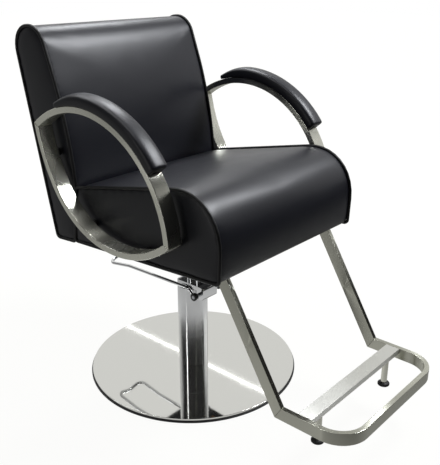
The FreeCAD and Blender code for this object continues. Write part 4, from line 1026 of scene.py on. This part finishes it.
def dressed(name, node, body, slot, material, radius, segments=2):
    bm = bmesh.new()
    bm.from_mesh(nodes[node].data)
    bmesh.ops.remove_doubles(bm, verts=bm.verts[:], dist=MERGE)
    bmesh.ops.dissolve_limit(bm, angle_limit=math.radians(FLAT), verts=bm.verts[:],
                             edges=bm.edges[:], delimit=set())
    if radius:
        ease_edges(bm, radius, segments, STEEP)
    return as_piece(name, bm, body, material, [node])


# Each is its name, CAD node, body, slot, finish and the radius of its eased edges
MACHINED = (
    ("pump_head_block", "pump_head", "pump", "chrome", chrome_plate, 0.8 * MM),
    ("lever_rod", "pump_lever", "lever", "chrome", chrome_plate, 0),
    ("lever_hub_pair", "lever_hubs", "lever", "black_plastic", moulded_nylon, 0.8 * MM),
    ("lever_pin_rod", "lever_pin", "pump", "zinc_screw", zinc_plate, 0.5 * MM),
    ("lift_ram", "ram", "seat", "chrome", chrome_plate, 0.5 * MM),
    ("seat_mount_plate", "seat_mount", "seat", "black_steel", powder_coat, 0.8 * MM),
)
for entry in MACHINED:
    dressed(*entry)

# %% [markdown]
# ## Finishes for what stays as it is
# The pieces inside the base, under the seat and in the cushions keep their CAD meshes. Each
# takes its finish from its slot, so none is left in a plain colour.

# %% Finishes on the frame
SLOT_FINISHES = {
    "mirror_steel": mirror_stainless, "chrome": chrome_plate, "satin_steel": satin_stainless,
    "black_rubber": edge_rubber, "black_plastic": moulded_nylon, "cast_grey": grey_iron,
    "bronze": bearing_bronze, "zinc_screw": zinc_plate, "plywood": birch_plywood,
    "black_steel": powder_coat, "black_vinyl": black_vinyl, "vinyl_welt": welt_vinyl_painted_shade,
}
NODE_FINISHES = {"pump_cylinder": ground_steel}
for subpart in frame["record"]["subparts"]:
    node = nodes[subpart["node"]]
    finish = NODE_FINISHES.get(subpart["node"], SLOT_FINISHES[subpart["material_slot"]])
    node.data.materials.clear()
    node.data.materials.append(finish)

# %% [markdown]
# ## The studio
# Polished metal and black vinyl show the room more than themselves, so the room matters. The
# camera sees a white backdrop. Reflections see a different studio: a bright wall behind the
# chair, a dark room behind the camera, and a grey floor with painted light on it that only
# reflections see, a painted pool of light near the base and painted shade in front. Four
# softboxes hang over the chair and give most of its light. Two pale boards and a strip are there
# for what the vinyl and the arms show of them, and a long tube by the far wall draws the thin
# bright line across the mirror base.

# %% Floor
# What the camera sees of the floor: a near white that is whiter far off, in metres
GLOW_NEAR = 0.95
GLOW_FAR = 1.0
NEAR = 0.7
FAR = 2.2
# What polished pieces see of the floor is painted light, a glow that is no lamp: a painted pool of
# light by the base that dims far off, and painted shade in front
GLOW_BASE = 0.58
GLOW_EDGE = 0.3
BY_BASE = 0.36
FAR_OFF = 0.78
FRONT_DARK = -1.12
FRONT_LIT = -0.82


def floor_finish():
    material = bpy.data.materials.new("studio_floor")
    material.use_nodes = True
    tree = material.node_tree
    tree.nodes.clear()
    ray = add_node(tree, "ShaderNodeLightPath")
    polished = add_node(tree, "ShaderNodeMath", {0: ray.outputs["Is Glossy Ray"],
                                                 1: ray.outputs["Is Transmission Ray"]},
                        operation="MAXIMUM")
    place = add_node(tree, "ShaderNodeTexCoord").outputs["Object"]
    along = add_node(tree, "ShaderNodeSeparateXYZ", {"Vector": place})
    # Painted shade: in reflections the floor's glow fades out towards the front
    behind = add_node(tree, "ShaderNodeMapRange", {"Value": along.outputs["Y"],
                                                   "From Min": FRONT_DARK,
                                                   "From Max": FRONT_LIT})
    reach = add_node(tree, "ShaderNodeVectorMath", {0: place}, operation="LENGTH")
    in_view = add_node(tree, "ShaderNodeMapRange", {"Value": reach.outputs["Value"],
                                                    "From Min": NEAR, "From Max": FAR,
                                                    "To Min": GLOW_NEAR, "To Max": GLOW_FAR})
    # Painted light: a pool of glow on the floor by the base, seen only in reflections
    painted_pool_by_base = add_node(tree, "ShaderNodeMapRange", {"Value": reach.outputs["Value"],
                                                      "From Min": BY_BASE, "From Max": FAR_OFF,
                                                      "To Min": GLOW_BASE, "To Max": GLOW_EDGE})
    painted_light_patch = add_node(tree, "ShaderNodeMath", {0: painted_pool_by_base.outputs["Result"],
                                              1: behind.outputs["Result"]}, operation="MULTIPLY")
    in_metal = add_node(tree, "ShaderNodeMath", {0: polished.outputs[0], 1: painted_light_patch.outputs[0]},
                        operation="MULTIPLY")
    glow = add_node(tree, "ShaderNodeMath", {0: ray.outputs["Is Camera Ray"],
                                             1: in_view.outputs["Result"],
                                             2: in_metal.outputs[0]},
                    operation="MULTIPLY_ADD")
    paper = add_node(tree, "ShaderNodeBsdfDiffuse", {"Color": linear("#3c3c3a")})
    light = add_node(tree, "ShaderNodeEmission", {"Color": (1, 1, 0.99, 1),
                                                  "Strength": glow.outputs[0]})
    both = add_node(tree, "ShaderNodeAddShader", {0: paper.outputs[0], 1: light.outputs[0]})
    add_node(tree, "ShaderNodeOutputMaterial", {"Surface": both.outputs[0]})
    return material


FLOOR_SIZE = 30.0
bm = bmesh.new()
bmesh.ops.create_grid(bm, x_segments=1, y_segments=1, size=FLOOR_SIZE / 2)
bmesh.ops.translate(bm, vec=(0, 0, -0.5 * MM), verts=bm.verts[:])
floor_mesh = bpy.data.meshes.new("floor")
bm.to_mesh(floor_mesh)
bm.free()
floor_mesh.materials.append(floor_finish())
floor = bpy.data.objects.new("floor", floor_mesh)
scene.collection.objects.link(floor)
print("floor", FLOOR_SIZE, "m")

# %% World
# The way to the middle of the bright wall, and how it fades: shares of facing it squarely
FAR_WALL = (0.54, 0.77, 0.34)
WALL_EDGE, WALL_CORE = 0.3, 0.95
ROOM_DARK = 0.03
WALL_BRIGHT = 0.84

world = bpy.data.worlds.new("studio")
scene.world = world
world.use_nodes = True
tree = world.node_tree
tree.nodes.clear()
ray = add_node(tree, "ShaderNodeLightPath")
direction = add_node(tree, "ShaderNodeTexCoord")
facing = add_node(tree, "ShaderNodeVectorMath", operation="DOT_PRODUCT")
tree.links.new(direction.outputs["Generated"], facing.inputs[0])
facing.inputs[1].default_value = Vector(FAR_WALL).normalized()
wall = add_node(tree, "ShaderNodeMapRange", {"Value": facing.outputs["Value"],
                                             "From Min": WALL_EDGE, "From Max": WALL_CORE,
                                             "To Min": ROOM_DARK, "To Max": WALL_BRIGHT},
                interpolation_type="SMOOTHSTEP")
studio = add_node(tree, "ShaderNodeBackground", {"Color": (1, 1, 0.985, 1),
                                                 "Strength": wall.outputs["Result"]})
white = add_node(tree, "ShaderNodeBackground", {"Color": (1, 1, 1, 1), "Strength": 1.0})
mix = add_node(tree, "ShaderNodeMixShader", {0: ray.outputs["Is Camera Ray"],
                                             1: studio.outputs[0], 2: white.outputs[0]})
add_node(tree, "ShaderNodeOutputWorld", {"Surface": mix.outputs[0]})
print("world ready")

# %% Lamps
def area_lamp(name, place, aim, width, length, radiance, colour=(1, 1, 1)):
    """A rectangular softbox at place that faces aim, with the brightness that it shows."""
    lamp = bpy.data.lights.new(name, "AREA")
    lamp.shape = "RECTANGLE"
    lamp.size = width
    lamp.size_y = length
    lamp.energy = radiance * math.pi * width * length
    lamp.color = colour
    holder = bpy.data.objects.new(name, lamp)
    holder.location = place
    holder.rotation_euler = (Vector(aim) - Vector(place)).to_track_quat("-Z", "Y").to_euler()
    scene.collection.objects.link(holder)
    return holder


# Each is its name, place, aim, width, length, brightness and, where it isn't white, colour
DAYLIGHT = (0.94, 0.96, 1.0)
LAMPS = (
    ("key_softbox", (1.4, -1.15, 2.67), (-0.3, 0.1, 0.6), 1.0, 0.75, 34.0, DAYLIGHT),
    ("rear_softbox", (1.18, 1.1, 2.54), (-0.3, 0, 0.6), 0.5, 0.5, 24.0, DAYLIGHT),
    ("top_softbox", (-0.6, 0.65, 2.6), (-0.3, 0, 0.5), 0.25, 0.25, 26.0),
    ("overhead_softbox", (-0.5, -0.3, 2.8), (0, 0, 0.5), 0.4, 0.4, 10.0),
    ("top_board", (0.0, 1.9, 2.75), (-0.2, 0, 0.7), 2.0, 0.9, 3.0, DAYLIGHT),
    ("right_board", (2.412, -1.024, 1.3), (0, 0, 0.65), 2.0, 0.95, 1.0),
    ("wall_tube", (2.77, 2.6, 2.4), (2.77, 2.6, 0), 0.018, 3.0, 5.0),
    ("left_strip", (-2.57, 0.36, 1.2), (0, 0, 1.2), 0.12, 2.3, 8.0),
)
for entry in LAMPS:
    area_lamp(*entry)
print("lamps ready")
